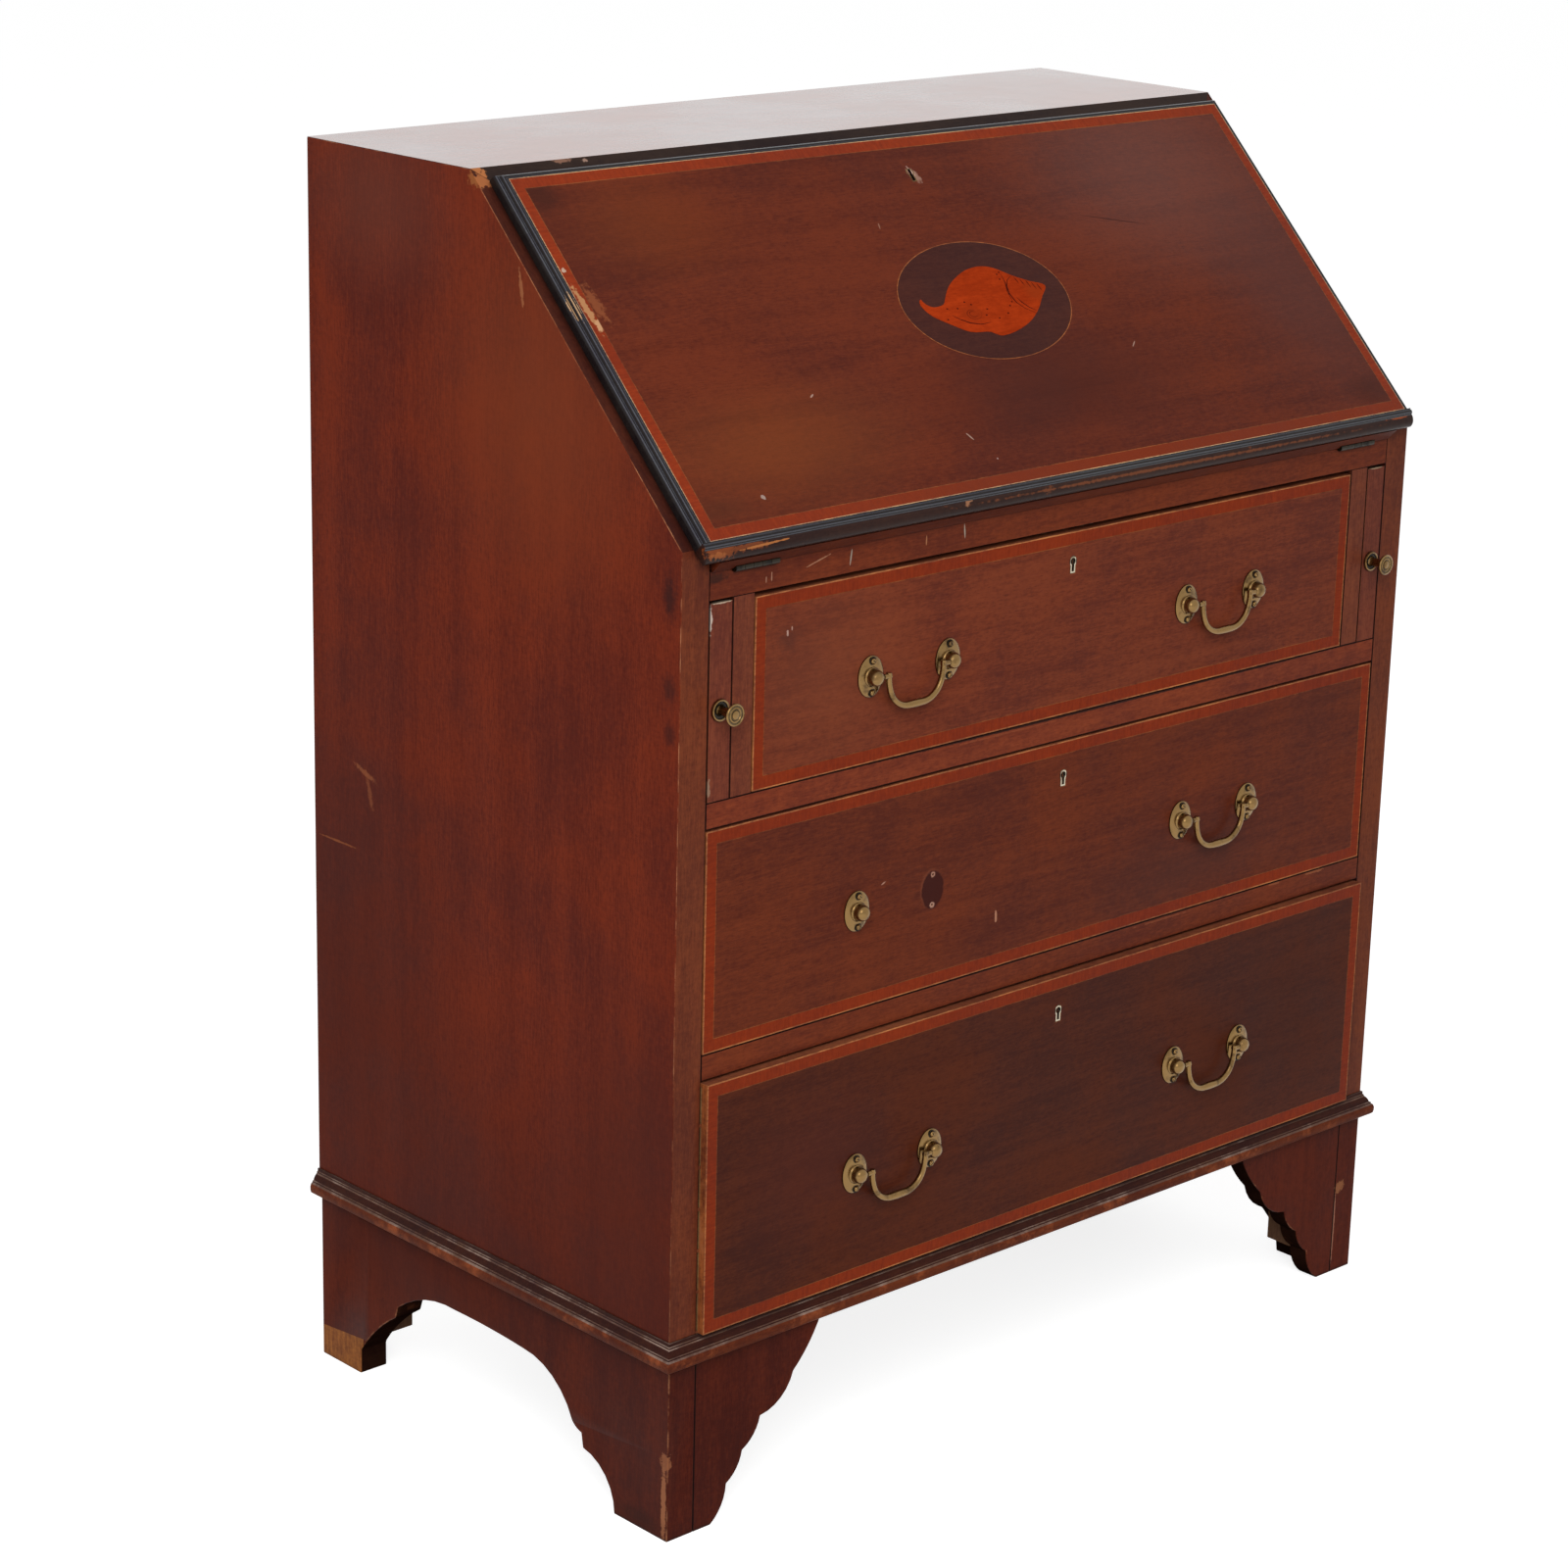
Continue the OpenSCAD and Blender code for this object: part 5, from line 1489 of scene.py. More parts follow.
    def board(self) -> None:
        """The lid's board, with its veneers on its upper face."""
        slope = self.slope
        low, high = -self.overhang * MM, slope.box("fall_board")[1]
        piece = Piece.copy_of("fall_board").moved(slope.back).dressed(MAHOGANY)
        glue = high.z - self.veneer * MM
        panel = Piece.block("panel", Vector((-high.x, low, glue)), high)
        piece.sliced(Vector((0, 0, glue)), Vector((0, 0, 1)))
        cross = replace(LID_BAND, name="crossband_up_slope", grain=Grain.UP_SLOPE)
        Veneers(MAHOGANY, STRING_PALE, LID_BAND, cross, FIELD, self.widths).lay(
            panel, facing(Vector((0, 0, 1))), lambda c: (high.x - abs(c.x), min(c.y - low, high.y - c.y)))
        panel.carved(self.key_cutter(high.z))
        piece.joined(panel)
        piece.smoothed()
        piece.moved(slope.lay).fitted("fall", ["fall_board"])

    def key_cutter(self, top: float) -> Piece:
        """The shape of the lid's keyhole, to cut it out.

        Args:
            top: How high the lid's upper face lies when it is flat.

        Returns:
            The shape.
        """
        high = self.slope.box("fall_lock")[1]
        # the keyhole's walls are painted shade
        tool = Piece.plate("key", keyhole(), 10).dressed(PAINTED_HOLE_SHADE)
        return tool.moved(Matrix.Translation((0, high.y - self.key_down * MM, top - 5 * MM)))

    def moulding(self) -> None:
        """The reeded ebonised moulding, mitred round the lid, its nose below worn to the wood."""
        lowest, highest = self.slope.box("fall_moulding")
        rise = Vector((0, 0, 1))
        low_edge = Vector((highest.x, lowest.y, lowest.z))
        far, across = Vector((0, highest.y - lowest.y, 0)), Vector((-2 * highest.x, 0, 0))
        head = Piece.strip("head", self.reeds, low_edge + far, across, Vector((0, -1, 0)), rise)
        nose = Piece.strip("fall_moulding_reeded", self.nose, low_edge + across, -across,
                           Vector((0, 1, 0)), rise)
        strips = []
        for side in (-1, 1):
            foot = Vector((side * low_edge.x, -self.overhang * MM, low_edge.z))
            end = Vector((foot.x, highest.y, foot.z))
            top = Vector((side, -1, 0))
            run = Piece.strip("run", self.reeds, foot, end - foot, Vector((-side, 0, 0)), rise)
            strips.append(run.sliced(end, -top))
            head.sliced(end, top)
        strips.append(head)
        for strip in (*strips, nose):
            strip.dressed(EBONISED)
            # the reeds' flanks take the grey painted highlight
            strip.dressed(EBONISED_REED_HIGHLIGHT_AND_WEAR, lambda c, n: 0.5 < n.z < 0.88)
        nose.dressed(EBONISED_WORN, lambda c, n: c.y < lowest.y + self.nose_face * MM)
        nose.joined(*strips).smoothed(50)
        nose.moved(self.slope.lay).fitted("fall", ["fall_moulding"], "ebonised_moulding")

    def inlay(self) -> None:
        """The oval with its shell."""
        high = self.slope.box("fall_board")[1]
        ground = Piece.plate("oval_ground", oval(*self.oval_size, 96), self.proud)
        ground.rings(lambda c, n: n.z > 0.9, (self.oval_line,))
        dark = replace(MAHOGANY, name="oval_ground_veneer", tone="#3f1d17", contrast=0.7, shine=0.04)
        ground.dressed(replace(STRING, name="oval_string", tone="#85492b"))
        ground.dressed(dark, lambda c, n: n.z > 0.9 and c.length < 5 * MM)
        ground.joined(*self.shell())
        place = Matrix.Translation((0, self.oval_at * MM, high.z))
        ground.moved(self.slope.lay @ place).fitted("fall")

    def turn_of(self, radius: float) -> list[Point2]:
        """One turn of the shell's whorl, which widens as it winds.

        Args:
            radius: Its half width where it ends.

        Returns:
            Points of its middle.
        """
        x, up = self.whorl
        spread = [(t / 9, radius * (0.4 + 0.6 * t / 56)) for t in range(0, 57, 4)]
        return [(x + r * math.cos(turn), up + 0.72 * r * math.sin(turn)) for turn, r in spread]

    def shell(self) -> list[Piece]:
        """The inlaid shell with its whorl, its folded lip, and its lines scorched with hot sand.

        Returns:
            The shell's pieces about the oval's centre.
        """
        body = Wood(
            "dyed_sycamore_shell", "#9b3211", streak=7, length=30, contrast=0.6, pores=0.25, shine=0.0,
            polish=0.0, dust=0.02,
            marks=(lid_mark(-20, self.oval_at - 10, 16, 11, "#8a2f12", amount=0.6, ragged=0.8, soft=0.8),
                   lid_mark(52, self.oval_at + 2, 14, 14, "#8f3414", amount=0.7, ragged=0.4, soft=0.8)))
        scorched = Wood("scorched_sycamore", "#4a160e", pores=0.4, shine=0.0, polish=0.0)
        faint = Wood("half_scorched_sycamore", "#6a200f", pores=0.4, shine=0.0, polish=0.0)
        pieces = [Piece.plate("shell", flowing(self.shell_edge), self.proud * 2).dressed(body)]
        ribs = [[(a + 0.5 * k, b - 2.2 * k) for k in range(4)] for a, b in self.rib_heads]
        for line, width, finish in (*[(fold, 1.1, scorched) for fold in self.folds],
                                    *[(self.turn_of(r), 0.7, faint) for r in self.turns],
                                    *[(rib, 0.9, scorched) for rib in ribs]):
            pieces.append(Piece.plate("line", stroke(line, width), self.proud * 2.3).dressed(finish))
        for a, b in self.dots:
            dot = Piece.plate("dot", oval(2.0, 1.3, 10), self.proud * 2.3).dressed(scorched)
            pieces.append(dot.moved(Matrix.Translation(mm(a, b, 0))))
        return pieces

    def leather(self) -> None:
        """The leather on the lid's inner face."""
        low, high = self.slope.box("writing_leather")
        piece = Piece.block("writing_leather_tooled", low, high).dressed(Leather())
        piece.rings(lambda c, n: n.z < -0.9, (self.tooled_in, *self.tooled))
        wide, gap, thin = self.tooled

        def gilt(c: Vector, n: Vector) -> bool:
            """Whether a face is one of the two tooled lines."""
            inward = min(c.x - low.x, high.x - c.x, c.y - low.y, high.y - c.y) / MM - self.tooled_in
            return n.z < -0.9 and (0 < inward < wide or wide + gap < inward < wide + gap + thin)

        piece.dressed(GILT, gilt).eased(0.3).smoothed()
        piece.moved(self.slope.lay).fitted("fall", ["writing_leather"], "leather")


# ---------------------------------------------------------------- drawers


def keyhole(spare: float = 0.0) -> list[Point2]:
    """Points round a keyhole, a round hole over a slot.

    Args:
        spare: How far it is grown all round, in millimetres.

    Returns:
        The points about the round hole's middle.
    """
    radius, half, foot = 2.6 + spare, 1.3 + spare, -7.5 - spare
    neck = -math.sqrt(radius ** 2 - half ** 2)
    return outline([(-half, foot, 0), (half, foot, 0), (half, neck, 0), (-half, neck, radius - neck)], 14)


# Stands work that was made flat on the XY plane up against the front, facing out
TO_FRONT = Matrix.Rotation(math.pi / 2, 4, "X")


@dataclass
class Drawer:
    """A long drawer: crossbanded front, dovetailed linings, lock and escutcheon.

    Attributes:
        name: Its place in the case: top, middle or bottom.
        field: The veneer of its field.
        key_down: How far its keyhole lies below its upper edge.
        widths: Widths of the line on its edge, the crossband and the fine line inside that.
        thick: Thickness of the front.
        lap: Thickness of the front that laps over the sides.
        lining: Thickness of the sides.
        pin_pitch: Distance between two dovetails, at least.
        pin: Half heights of a pin where it is narrowest and widest.
        liner: Width of the brass liner's rim round the keyhole.
        liner_deep: Depth of that rim.
        groove_deep: Depth of the groove that holds the bottom.
        lock_deep: Depth of the recess for the lock.
        lost_screws: Where a lost plate has left its screw holes, as (x, z) in millimetres.
    """

    name: str
    field: Wood
    key_down: float
    widths: Point3 = (1.0, 8.6, 0.5)
    thick: float = 20
    lap: float = 6
    lining: float = 9
    pin_pitch: float = 27
    pin: Point2 = (1, 3)
    liner: float = 1.5
    liner_deep: float = 2.02
    groove_deep: float = 4.5
    lock_deep: float = 11
    lost_screws: tuple[Point2, ...] = ()

    @property
    def body(self) -> str:
        """The frame's body that the drawer is."""
        return self.name + "_drawer"

    def build(self) -> None:
        """Makes the drawer's pieces."""
        self.front()
        self.linings()
        for node in (self.body + "_lock", self.name + "_lock_bolt"):
            dress_node(node, LINER_BRASS)

    def pins(self, low: Vector, high: Vector, spare: float) -> list[Piece]:
        """The dovetail pins between the front and the sides, as wedges.

        Args:
            low: Lowest corner of the front.
            high: Highest corner of the front.
            spare: How far the wedges are grown, in millimetres.

        Returns:
            One wedge for each pin of both ends.
        """
        count = int((high.z - low.z) / MM / self.pin_pitch)
        narrow, wide = (half + spare for half in self.pin)
        through = mm(0, 0, self.lining + 2)
        wedges = []
        for side in (-1, 1):
            for i in range(count):
                z = low.z + (high.z - low.z) * i / count
                # the lowest is a half pin, cut off at the front's lower edge
                below = bool(spare) or i > 0
                wedge = Piece.drawn("pin", [(self.lap, -narrow * below), (self.thick, -wide * below),
                                            (self.thick, wide), (self.lap, narrow)])
                with wedge.edited():
                    bpy.ops.mesh.extrude_region_move(TRANSFORM_OT_translate={"value": through})
                # drawn as (depth, height) and raised along Z: stand it on the drawer's end
                stand = Matrix(((0, 0, side, high.x * side - side * self.lining * MM),
                                (1, 0, 0, low.y), (0, 1, 0, z), (0, 0, 0, 1)))
                wedges.append(wedge.moved(stand).righted())
        return wedges

    def front(self) -> None:
        """The front, with its veneers, rebates, lock recess and keyhole."""
        low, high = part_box(self.body + "_front")
        piece = Piece.block(self.body + "_front_veneered", low, high)
        upright = replace(BAND, name="crossband_upright", grain=Grain.UPRIGHT)
        Veneers(CORE, STRING, BAND, upright, self.field, self.widths).lay(
            piece, facing(Vector((0, -1, 0))),
            lambda c: (high.x - abs(c.x), min(c.z - low.z, high.z - c.z)))
        edge = replace(STRING, name=self.name + "_drawer_edge", tone="#7e4226", rub="#a0603c", rubbed=0.45,
                       grain=Grain.UPRIGHT)
        piece.dressed(edge, lambda c, n: abs(n.x) > 0.9)
        lock_low, lock_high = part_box(self.body + "_lock")
        spare = 5 * MM
        back = low.y + self.thick * MM
        for side in (-1, 1):
            left, right = sorted((side * (high.x - self.lining * MM), side * (high.x + spare)))
            piece.carved(Piece.block("lap", Vector((left, low.y + self.lap * MM, low.z - spare)),
                                     Vector((right, back + spare, high.z - 3 * MM))).dressed(CORE))
        groove_low, groove_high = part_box(self.body + "_bottom")
        piece.carved(
            Piece.block("groove", Vector((groove_low.x, back - self.groove_deep * MM, groove_low.z)),
                        Vector((groove_high.x, back + spare, groove_high.z))).dressed(CORE),
            Piece.block("lock_recess", Vector((lock_low.x, lock_high.y - self.lock_deep * MM, lock_low.z)),
                        Vector((lock_high.x, back + spare, high.z + spare))).dressed(CORE))
        # the walls of the keyhole and of the recess round its liner are painted shade; round the liner it
        # shows as a dark outline
        for rim, deep in ((0, self.thick + 4), (self.liner, self.liner_deep)):
            key = Piece.plate("key", keyhole(rim), deep + 4).dressed(PAINTED_HOLE_SHADE)
            key.moved(Matrix.Translation((0, low.y + deep * MM, high.z - self.key_down * MM)) @ TO_FRONT)
            piece.carved(key)
        # the screw holes' walls are painted shade
        for x, z in self.lost_screws:
            hole = Piece.plate("hole", oval(1.4, 1.4, 16), 12).dressed(PAINTED_HOLE_SHADE)
            piece.carved(hole.moved(Matrix.Translation((x * MM, low.y + 10 * MM, z * MM)) @ TO_FRONT))
        arris = replace(STRING, name="boxwood_arris", tone="#8a5134", rub="#6e3420", rubbed=0.55)
        piece.eased(0.35, arris)
        piece.joined(*[wedge.dressed(CORE) for wedge in self.pins(low, high, 0)])
        piece.smoothed()
        piece.fitted(self.body, [self.body + "_front"])

    def linings(self) -> None:
        """The sides with their tails, and the bottom."""
        low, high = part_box(self.body + "_front")
        sides = Piece.copy_of(self.body + "_sides").dressed(OAK)
        sides.carved(*[wedge.dressed(OAK) for wedge in self.pins(low, high, 0.05)])
        sides.eased(0.4).smoothed()
        sides.fitted(self.body, [self.body + "_sides"], "carcass_wood")
        pine = replace(PALE, name="pine_drawer_bottom", grain=Grain.ACROSS)
        bottom = Piece.copy_of(self.body + "_bottom").dressed(pine)
        bottom.eased(0.4).smoothed()
        bottom.fitted(self.body, [self.body + "_bottom"], "carcass_wood")


# ---------------------------------------------------------------- handles


@dataclass
class Handle:
    """A swan-neck handle: two oval plates with posts, and a bail between them.

    Attributes:
        bail: The bail's node and body, or nothing where it is lost.
        middle: The point between its plates on the drawer's face, in metres.
        ends: Which of its two plates are there, -1 for the left and 1 for the right.
        width: Width of a plate.
        height: Height of a plate.
        gap: Distance between the posts.
        screw_up: Distance of each screw from the plate's centre.
        pivot: How far the bail's pins stand out of the face.
        bore: Radius of the hole for a bail's pin.
        post: Half the section of a post, as (radius, height over the drawer's face).
    """

    bail: str
    middle: Vector
    ends: tuple[int, ...] = (-1, 1)
    width: float = 24
    height: float = 30
    gap: float = 76.2
    screw_up: float = 11.5
    pivot: float = 7.5
    bore: float = 1.56
    post: tuple[Point2, ...] = (
        (0, 1), (7.2, 1), (7.4, 2.0), (7.2, 2.8), (6.7, 3.2), (6.3, 3.6), (6.25, 4.6), (6.1, 6.0),
        (5.8, 7.6), (5.2, 9.0), (4.2, 10.0), (2.8, 10.7), (1.4, 10.95), (0, 11))

    def build(self) -> list[Piece]:
        """Makes the handle's plates with their screws, and its bail.

        Returns:
            The plates, which ride on the drawer together.
        """
        plates = [self.plate(end) for end in self.ends]
        if self.bail:
            self.swan_neck()
        return plates

    def plate(self, end: int) -> Piece:
        """One plate with its post and screws.

        Args:
            end: -1 for the left one and 1 for the right one.

        Returns:
            The plate in its place on the drawer.
        """
        plate = Piece.plate("plate", oval(self.width, self.height), 0.9)
        plate.rings(facing(Vector((0, 0, 1))), (0.5, 1.2, 2.0, 2.4, 2.4), (0.4, 0.5, 0.4, 0.25, 0.1))
        plate.dressed(HANDLE_BRASS)
        post = Piece.turned("post", self.post, 36).dressed(HANDLE_BRASS)
        # the hole's walls are dark brass, painted shade where the bail's pin goes in
        bore = Piece.turned("bore", ((0, 0), (self.bore, 0), (self.bore, 9), (0, 9)), 20).dressed(BRASS_TARNISH_AND_SHADE)
        post.carved(bore.moved(Matrix.Translation((0, 0, self.pivot * MM))
                               @ Matrix.Rotation(-end * math.pi / 2, 4, "Y")))
        plate.joined(post, *[self.screw(end, up) for up in (-1, 1)])
        plate.eased(0.2, angle=50).smoothed(50)
        x = self.middle.x + end * self.gap / 2 * MM
        return plate.moved(Matrix.Translation((x, self.middle.y, self.middle.z)) @ TO_FRONT)

    def screw(self, end: int, up: int) -> Piece:
        """A round-headed screw in its countersink, its slot at a chance angle; the countersink ring and the
        slot are dark brass, painted shade on tarnish.

        Args:
            end: The plate's end, -1 or 1.
            up: -1 for the lower screw and 1 for the upper one.

        Returns:
            The screw in its place on the plate.
        """
        profile = ((0, -10), (1.2, -10), (1.2, 2.0), (3.1, 2.0), (3.1, 2.4), (2.5, 2.5), (2.2, 2.1),
                   (2.3, 2.8), (2.1, 3.5), (1.6, 4.1), (0.9, 4.4), (0, 4.5))
        head = Piece.turned("screw", profile, 20)
        # below the head's rim and in the slot the brass is dark: painted shade on tarnish
        head.dressed(HANDLE_BRASS).dressed(BRASS_TARNISH_AND_SHADE, lambda c, n: c.z < 2.65 * MM)
        slot = Piece.block("slot", mm(-3, -0.3, 4.0), mm(3, 0.3, 5)).dressed(BRASS_TARNISH_AND_SHADE)
        head.carved(slot.moved(Matrix.Rotation(1.3 * end + 0.7 * up, 4, "Z")))
        return head.moved(Matrix.Translation(mm(0, up * self.screw_up, 0)))

    def swan_neck(self) -> None:
        """The bail: a bent rod, thicker at the grip, with an eye and a pin at each end."""
        # a wide bend swings in from the eye, and a tight one rounds off to the straight grip
        reach, top = 27, 2.4
        bend, turn = 35, math.radians(20)
        round_off = 19
        shift = reach - bend
        hub = (shift + (bend - round_off) * math.cos(turn), -(bend - round_off) * math.sin(turn))
        path = [(reach, top)]
        path += [(shift + bend * math.cos(a), -bend * math.sin(a)) for a in (turn * i / 5 for i in range(5))]
        rest = math.pi / 2 - turn
        path += [(hub[0] + round_off * math.cos(a), hub[1] - round_off * math.sin(a))
                 for a in (turn + rest * i / 14 for i in range(15))]
        path += [(hub[0] * i / 6, path[-1][1]) for i in (5, 4, 3, 2, 1)]
        path = [(x, 0, z) for x, z in path] + [(0, 0, path[-1][1])] + [(-x, 0, z) for x, z in reversed(path)]
        radii = [2.1 + 0.35 * min(1, -z / 24.5) + 0.65 * math.exp(-(x / 10) ** 2) for x, _, z in path]
        bail = Piece.rod("bail", path, radii, 6)
        pin = ((0, 25.5), (2.0, 25.5), (2.0, 32.0), (1.5, 32.2), (1.5, 37.2), (0, 37.3))
        for side in (-1, 1):
            bail.joined(Piece.turned("pin", pin, 24).moved(Matrix.Rotation(side * math.pi / 2, 4, "Y")))
        bail.dressed(HANDLE_BRASS).smoothed(60)
        bail.obj.name = bail.name = self.bail + "_cast"
        bail.moved(Matrix.Translation(self.middle - mm(0, self.pivot, 0)))
        bail.fitted(self.bail, [self.bail], "aged_brass")


@dataclass
class Handles:
    """All the handles of the drawers, found from the frame's own.

    Attributes:
        lost: The drawer whose left handle has lost its bail and its right-hand plate.
        gap: Distance between a handle's posts.
        half_plate: Half the width of a plate.
    """

    lost: str = "middle"
    gap: float = 76.2
    half_plate: float = 12

    def build(self) -> None:
        """Makes each drawer's handles, its plates as one piece."""
        for name in ("top", "middle", "bottom"):
            node = name + "_drawer_plates"
            low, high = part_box(node)
            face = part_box(name + "_drawer_front")[0].y
            plates = []
            for side, hand in ((-1, "left"), (1, "right")):
                x = side * (high.x - (self.half_plate + self.gap / 2) * MM)
                gone = name == self.lost and side == -1
                bail, ends = ("", (-1,)) if gone else (f"{name}_bail_{hand}", (-1, 1))
                middle = Vector((x, face, (low.z + high.z) / 2))
                plates += Handle(bail, middle, ends, 2 * self.half_plate, gap=self.gap).build()
            plates[0].joined(*plates[1:])
            plates[0].obj.name = plates[0].name = node + "_cast"
            plates[0].fitted(name + "_drawer", [node], "aged_brass")


# ---------------------------------------------------------------- slides and interior


@dataclass
class Slides:
    """The two slides that carry the open lid, each with a turned brass knob.

    Attributes:
        knob: Half the section of a knob with its stem, as (radius, height over the slide's face).
        groove: The heights between which the groove of its face lies.
        groove_wide: Radius of that groove.
        neck: The heights between which its dark neck lies, at the slide's face.
        neck_wide: Radius of that neck.
    """

    knob: tuple[Point2, ...] = (
        (0, -13), (2, -13), (2, 0), (7.8, 0), (7.8, 1.2), (7.5, 1.9), (6.9, 2.2), (6.3, 1.9), (5.9, 1.0),
        (4.4, 0.9), (4.0, 1.6), (3.4, 2.6), (3.1, 5), (3.1, 9), (3.4, 11.5), (4.4, 13.2), (6.4, 14.2),
        (7.7, 14.6), (8.1, 15.2), (8.1, 16.0), (7.8, 16.6), (7.2, 16.9), (6.6, 16.6), (6.3, 16.1),
        (5.7, 16.1), (5.4, 16.5), (4.6, 16.7), (4.2, 16.2), (3.7, 15.9), (3.2, 16.1), (3.0, 16.6),
        (2.2, 16.9), (0, 17))
    groove: Point2 = (15.85, 16.35)
    groove_wide: float = 6.6
    neck: Point2 = (0.5, 2.0)
    neck_wide: float = 6.3

    def build(self) -> None:
        """Makes both slides and their knobs."""
        for hand in ("left", "right"):
            body, node = "slide_" + hand, "loper_knob_" + hand
            low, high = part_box(node)
            board = Piece.copy_of("loper_" + hand).dressed(SLIDE_WOOD)
            board.eased(0.6, SLIDE_WOOD.worn(0.8)).smoothed().fitted(body, ["loper_" + hand])
            knob = Piece.turned(node + "_turned", self.knob, 48).dressed(HANDLE_BRASS)
            knob.dressed(RING_BRASS, lambda c, n: self.groove[0] * MM < c.z < self.groove[1] * MM
                         and c.xy.length < self.groove_wide * MM)
            # the neck under the knob is dark brass: painted shade on tarnish
            knob.dressed(BRASS_TARNISH_AND_SHADE, lambda c, n: self.neck[0] * MM < c.z < self.neck[1] * MM
                         and c.xy.length < self.neck_wide * MM)
            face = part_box("loper_" + hand)[0].y
            knob.moved(Matrix.Translation(((low.x + high.x) / 2, face, (low.z + high.z) / 2)) @ TO_FRONT)
            knob.smoothed(40).fitted(body, [node], "aged_brass")


@dataclass
class Interior:
    """The fittings behind the lid: shelf, uprights, valances and two small drawers.

    Attributes:
        arris: Width of a worn arris.
        front: Thickness of a small drawer's front.
    """

    arris: float = 0.4
    front: float = 8

    def build(self) -> None:
        """Makes the fittings."""
        for node, finish in (("pigeonhole_shelf", replace(OAK, name="oak_shelf", grain=Grain.ACROSS)),
                             ("pigeonhole_uprights", OAK),
                             ("pigeonhole_valances", replace(MAHOGANY, name="mahogany_valance"))):
            piece = Piece.copy_of(node).dressed(finish).eased(self.arris).smoothed()
            piece.fitted("case", [node], "carcass_wood")
        for hand in ("left", "right"):
            self.small_drawer("inner_drawer_" + hand)

    def small_drawer(self, node: str) -> None:
        """A small drawer with a mahogany front and a turned brass knob.

        Args:
            node: The drawer's node, which is its body too.
        """
        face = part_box("pigeonhole_shelf")[0].y
        spare = 0.05 * MM
        piece = Piece.copy_of(node).dressed(OAK)
        piece.dressed(MAHOGANY, lambda c, n: c.y < face + self.front * MM + spare)
        piece.dressed(HANDLE_BRASS, lambda c, n: c.y < face - spare)
        piece.eased(0.3, segments=1).smoothed()
        piece.fitted(node, [node], "carcass_wood")


# ---------------------------------------------------------------- camera and light


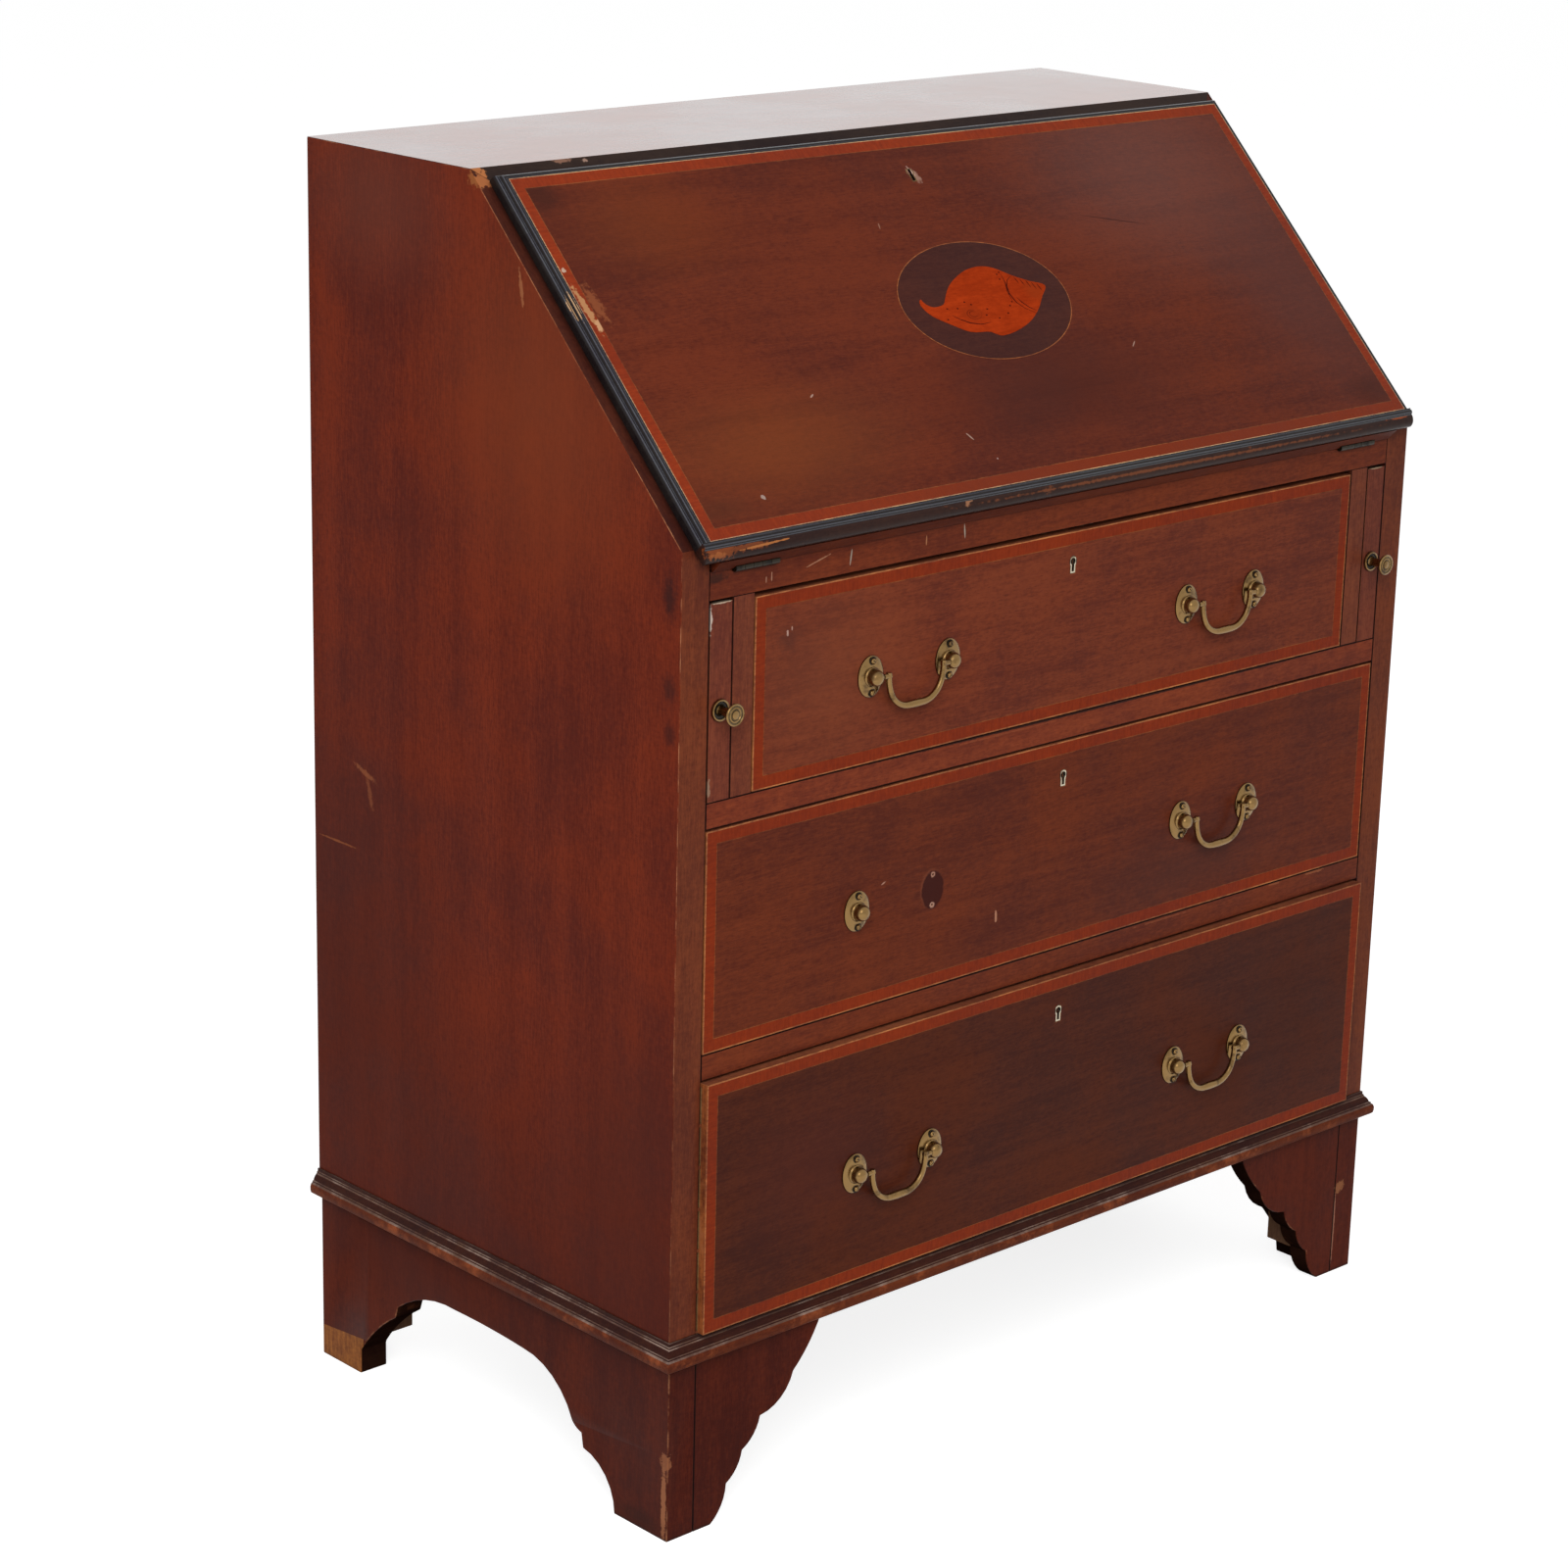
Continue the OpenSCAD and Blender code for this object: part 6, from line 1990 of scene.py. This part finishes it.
@dataclass
class Studio:
    """A pale floor, a plain sky of soft light and the camera.

    Attributes:
        eye: The camera's place in metres.
        yaw: Degrees that the camera is turned to the right of straight on.
        pitch: Degrees that it looks down.
        roll: Degrees that it leans.
        lens: Its focal length in millimetres.
        film: Width of its film in millimetres.
        sky_light: Strength of the sky's light on the desk.
        floor_share: How much light the floor sends back to the eye.
        floor_glow: The floor's own white, as the eye sees it.
    """

    eye: Point3 = (-2.0665, -2.1044, 1.3530)
    yaw: float = 43.10
    pitch: float = 17.11
    roll: float = 1.407
    lens: float = 90.83
    film: float = 36
    sky_light: float = 0.38
    floor_share: float = 0.5
    floor_glow: float = 0.8

    def build(self) -> None:
        """Sets up the camera, the floor and the light."""
        self.camera()
        self.floor()
        self.sky()
        self.softbox("key_light", (-2.3, -2.3, 2.75), (-0.1, -0.1, 0.6), 3.2, 122, mirrored=False)
        self.softbox("side_light", (-1.3, -1.35, 1.5), (-0.35, -0.2, 0.55), 1.0, 7)
        self.softbox("back_light", (1.2, 2.2, 1.5), (0, 0.2, 0.5), 2.0, 20, mirrored=False)

    def camera(self) -> None:
        """The camera at the height and angle of a person who looks down at the desk's corner."""
        yaw, pitch, roll = (math.radians(a) for a in (self.yaw, self.pitch, self.roll))
        ahead = Vector((math.sin(yaw) * math.cos(pitch), math.cos(yaw) * math.cos(pitch), -math.sin(pitch)))
        right = ahead.cross(Vector((0, 0, 1))).normalized()
        up = right.cross(ahead)
        across = right * math.cos(roll) + up * math.sin(roll)
        above = up * math.cos(roll) - right * math.sin(roll)
        bpy.ops.object.camera_add()
        camera = bpy.context.object
        camera.name = "camera"
        camera.data.lens = self.lens
        camera.data.sensor_width = self.film
        stance = Matrix((across, above, -ahead)).transposed().to_4x4()
        camera.matrix_world = Matrix.Translation(self.eye) @ stance
        bpy.context.scene.camera = camera

    def floor(self) -> None:
        """A floor that looks white, keeps the desk's shadow and throws little light back up."""
        bpy.ops.object.select_all(action="DESELECT")
        bpy.ops.mesh.primitive_plane_add(size=60)
        obj = bpy.context.object
        obj.name = "floor"
        material, tree, shader = started("pale_floor")
        seen = self.seen(tree)
        feed(tree, shader, {
            "Base Color": add(tree, "MapRange", {0: seen, 3: 0.3, 4: self.floor_share}, **SMOOTH),
            "Emission Strength": add(tree, "MapRange", {0: seen, 3: 0.0, 4: self.floor_glow}, **SMOOTH),
            "Emission Color": (1, 1, 1, 1),
            "Roughness": 0.9,
            "Specular IOR Level": 0.0})
        obj.data.materials.append(material)

    def seen(self, tree: Tree) -> Node:
        """1 for what the camera sees, straight or in gloss or through glass, and else 0.

        Args:
            tree: The node tree of the floor's material or the world.

        Returns:
            The node that gives it.
        """
        path = add(tree, "LightPath", {}).outputs
        seen = add(tree, "Math", {0: path["Is Camera Ray"], 1: path["Is Glossy Ray"]}, operation="MAXIMUM")
        return add(tree, "Math", {0: seen, 1: path["Is Transmission Ray"]}, operation="MAXIMUM")

    def sky(self) -> None:
        """A plain sky, white to the eye and to what reflects it."""
        world = bpy.data.worlds.new("sky")
        bpy.context.scene.world = world
        world.use_nodes = True
        tree = world.node_tree
        tree.nodes.clear()
        strength = add(tree, "MapRange", {0: self.seen(tree), 3: self.sky_light, 4: 1.0}, **SMOOTH)
        light = add(tree, "Background", {"Color": (1, 1, 1, 1), "Strength": strength})
        add(tree, "OutputWorld", {"Surface": light})

    def softbox(self, name: str, at: Sequence[float], target: Sequence[float], size: float,
                power: float, mirrored: bool = True) -> None:
        """A square soft light that looks at a point.

        Args:
            name: Its name.
            at: Its place in metres.
            target: The point that it looks at.
            size: Its side in metres.
            power: Its power in watts.
            mirrored: Whether polish and metal show it.
        """
        bpy.ops.object.light_add(type="AREA", location=at)
        lamp = bpy.context.object
        lamp.name = name
        lamp.data.size = size
        lamp.data.energy = power
        lamp.visible_glossy = mirrored
        look = Vector(at) - Vector(target)
        lamp.rotation_euler = look.to_track_quat("Z", "Y").to_euler()


def main() -> None:
    """Makes the desk and its studio."""
    logging.basicConfig(level=logging.INFO, format="%(message)s")
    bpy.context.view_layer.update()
    bpy.context.scene.view_settings.view_transform = "Standard"
    Studio().build()
    slope = Slope()
    Case().build()
    Lid(slope).build()
    Drawer("top", TOP_FIELD, 22.5).build()
    lost_screws = tuple((GHOST[0], GHOST[1] + up * GHOST_SCREW) for up in (-1, 1))
    Drawer("middle", MIDDLE_FIELD, 26, lost_screws=lost_screws).build()
    Drawer("bottom", BOTTOM_FIELD, 27).build()
    Handles().build()
    Slides().build()
    Interior().build()


if __name__ == "__main__":
    main()
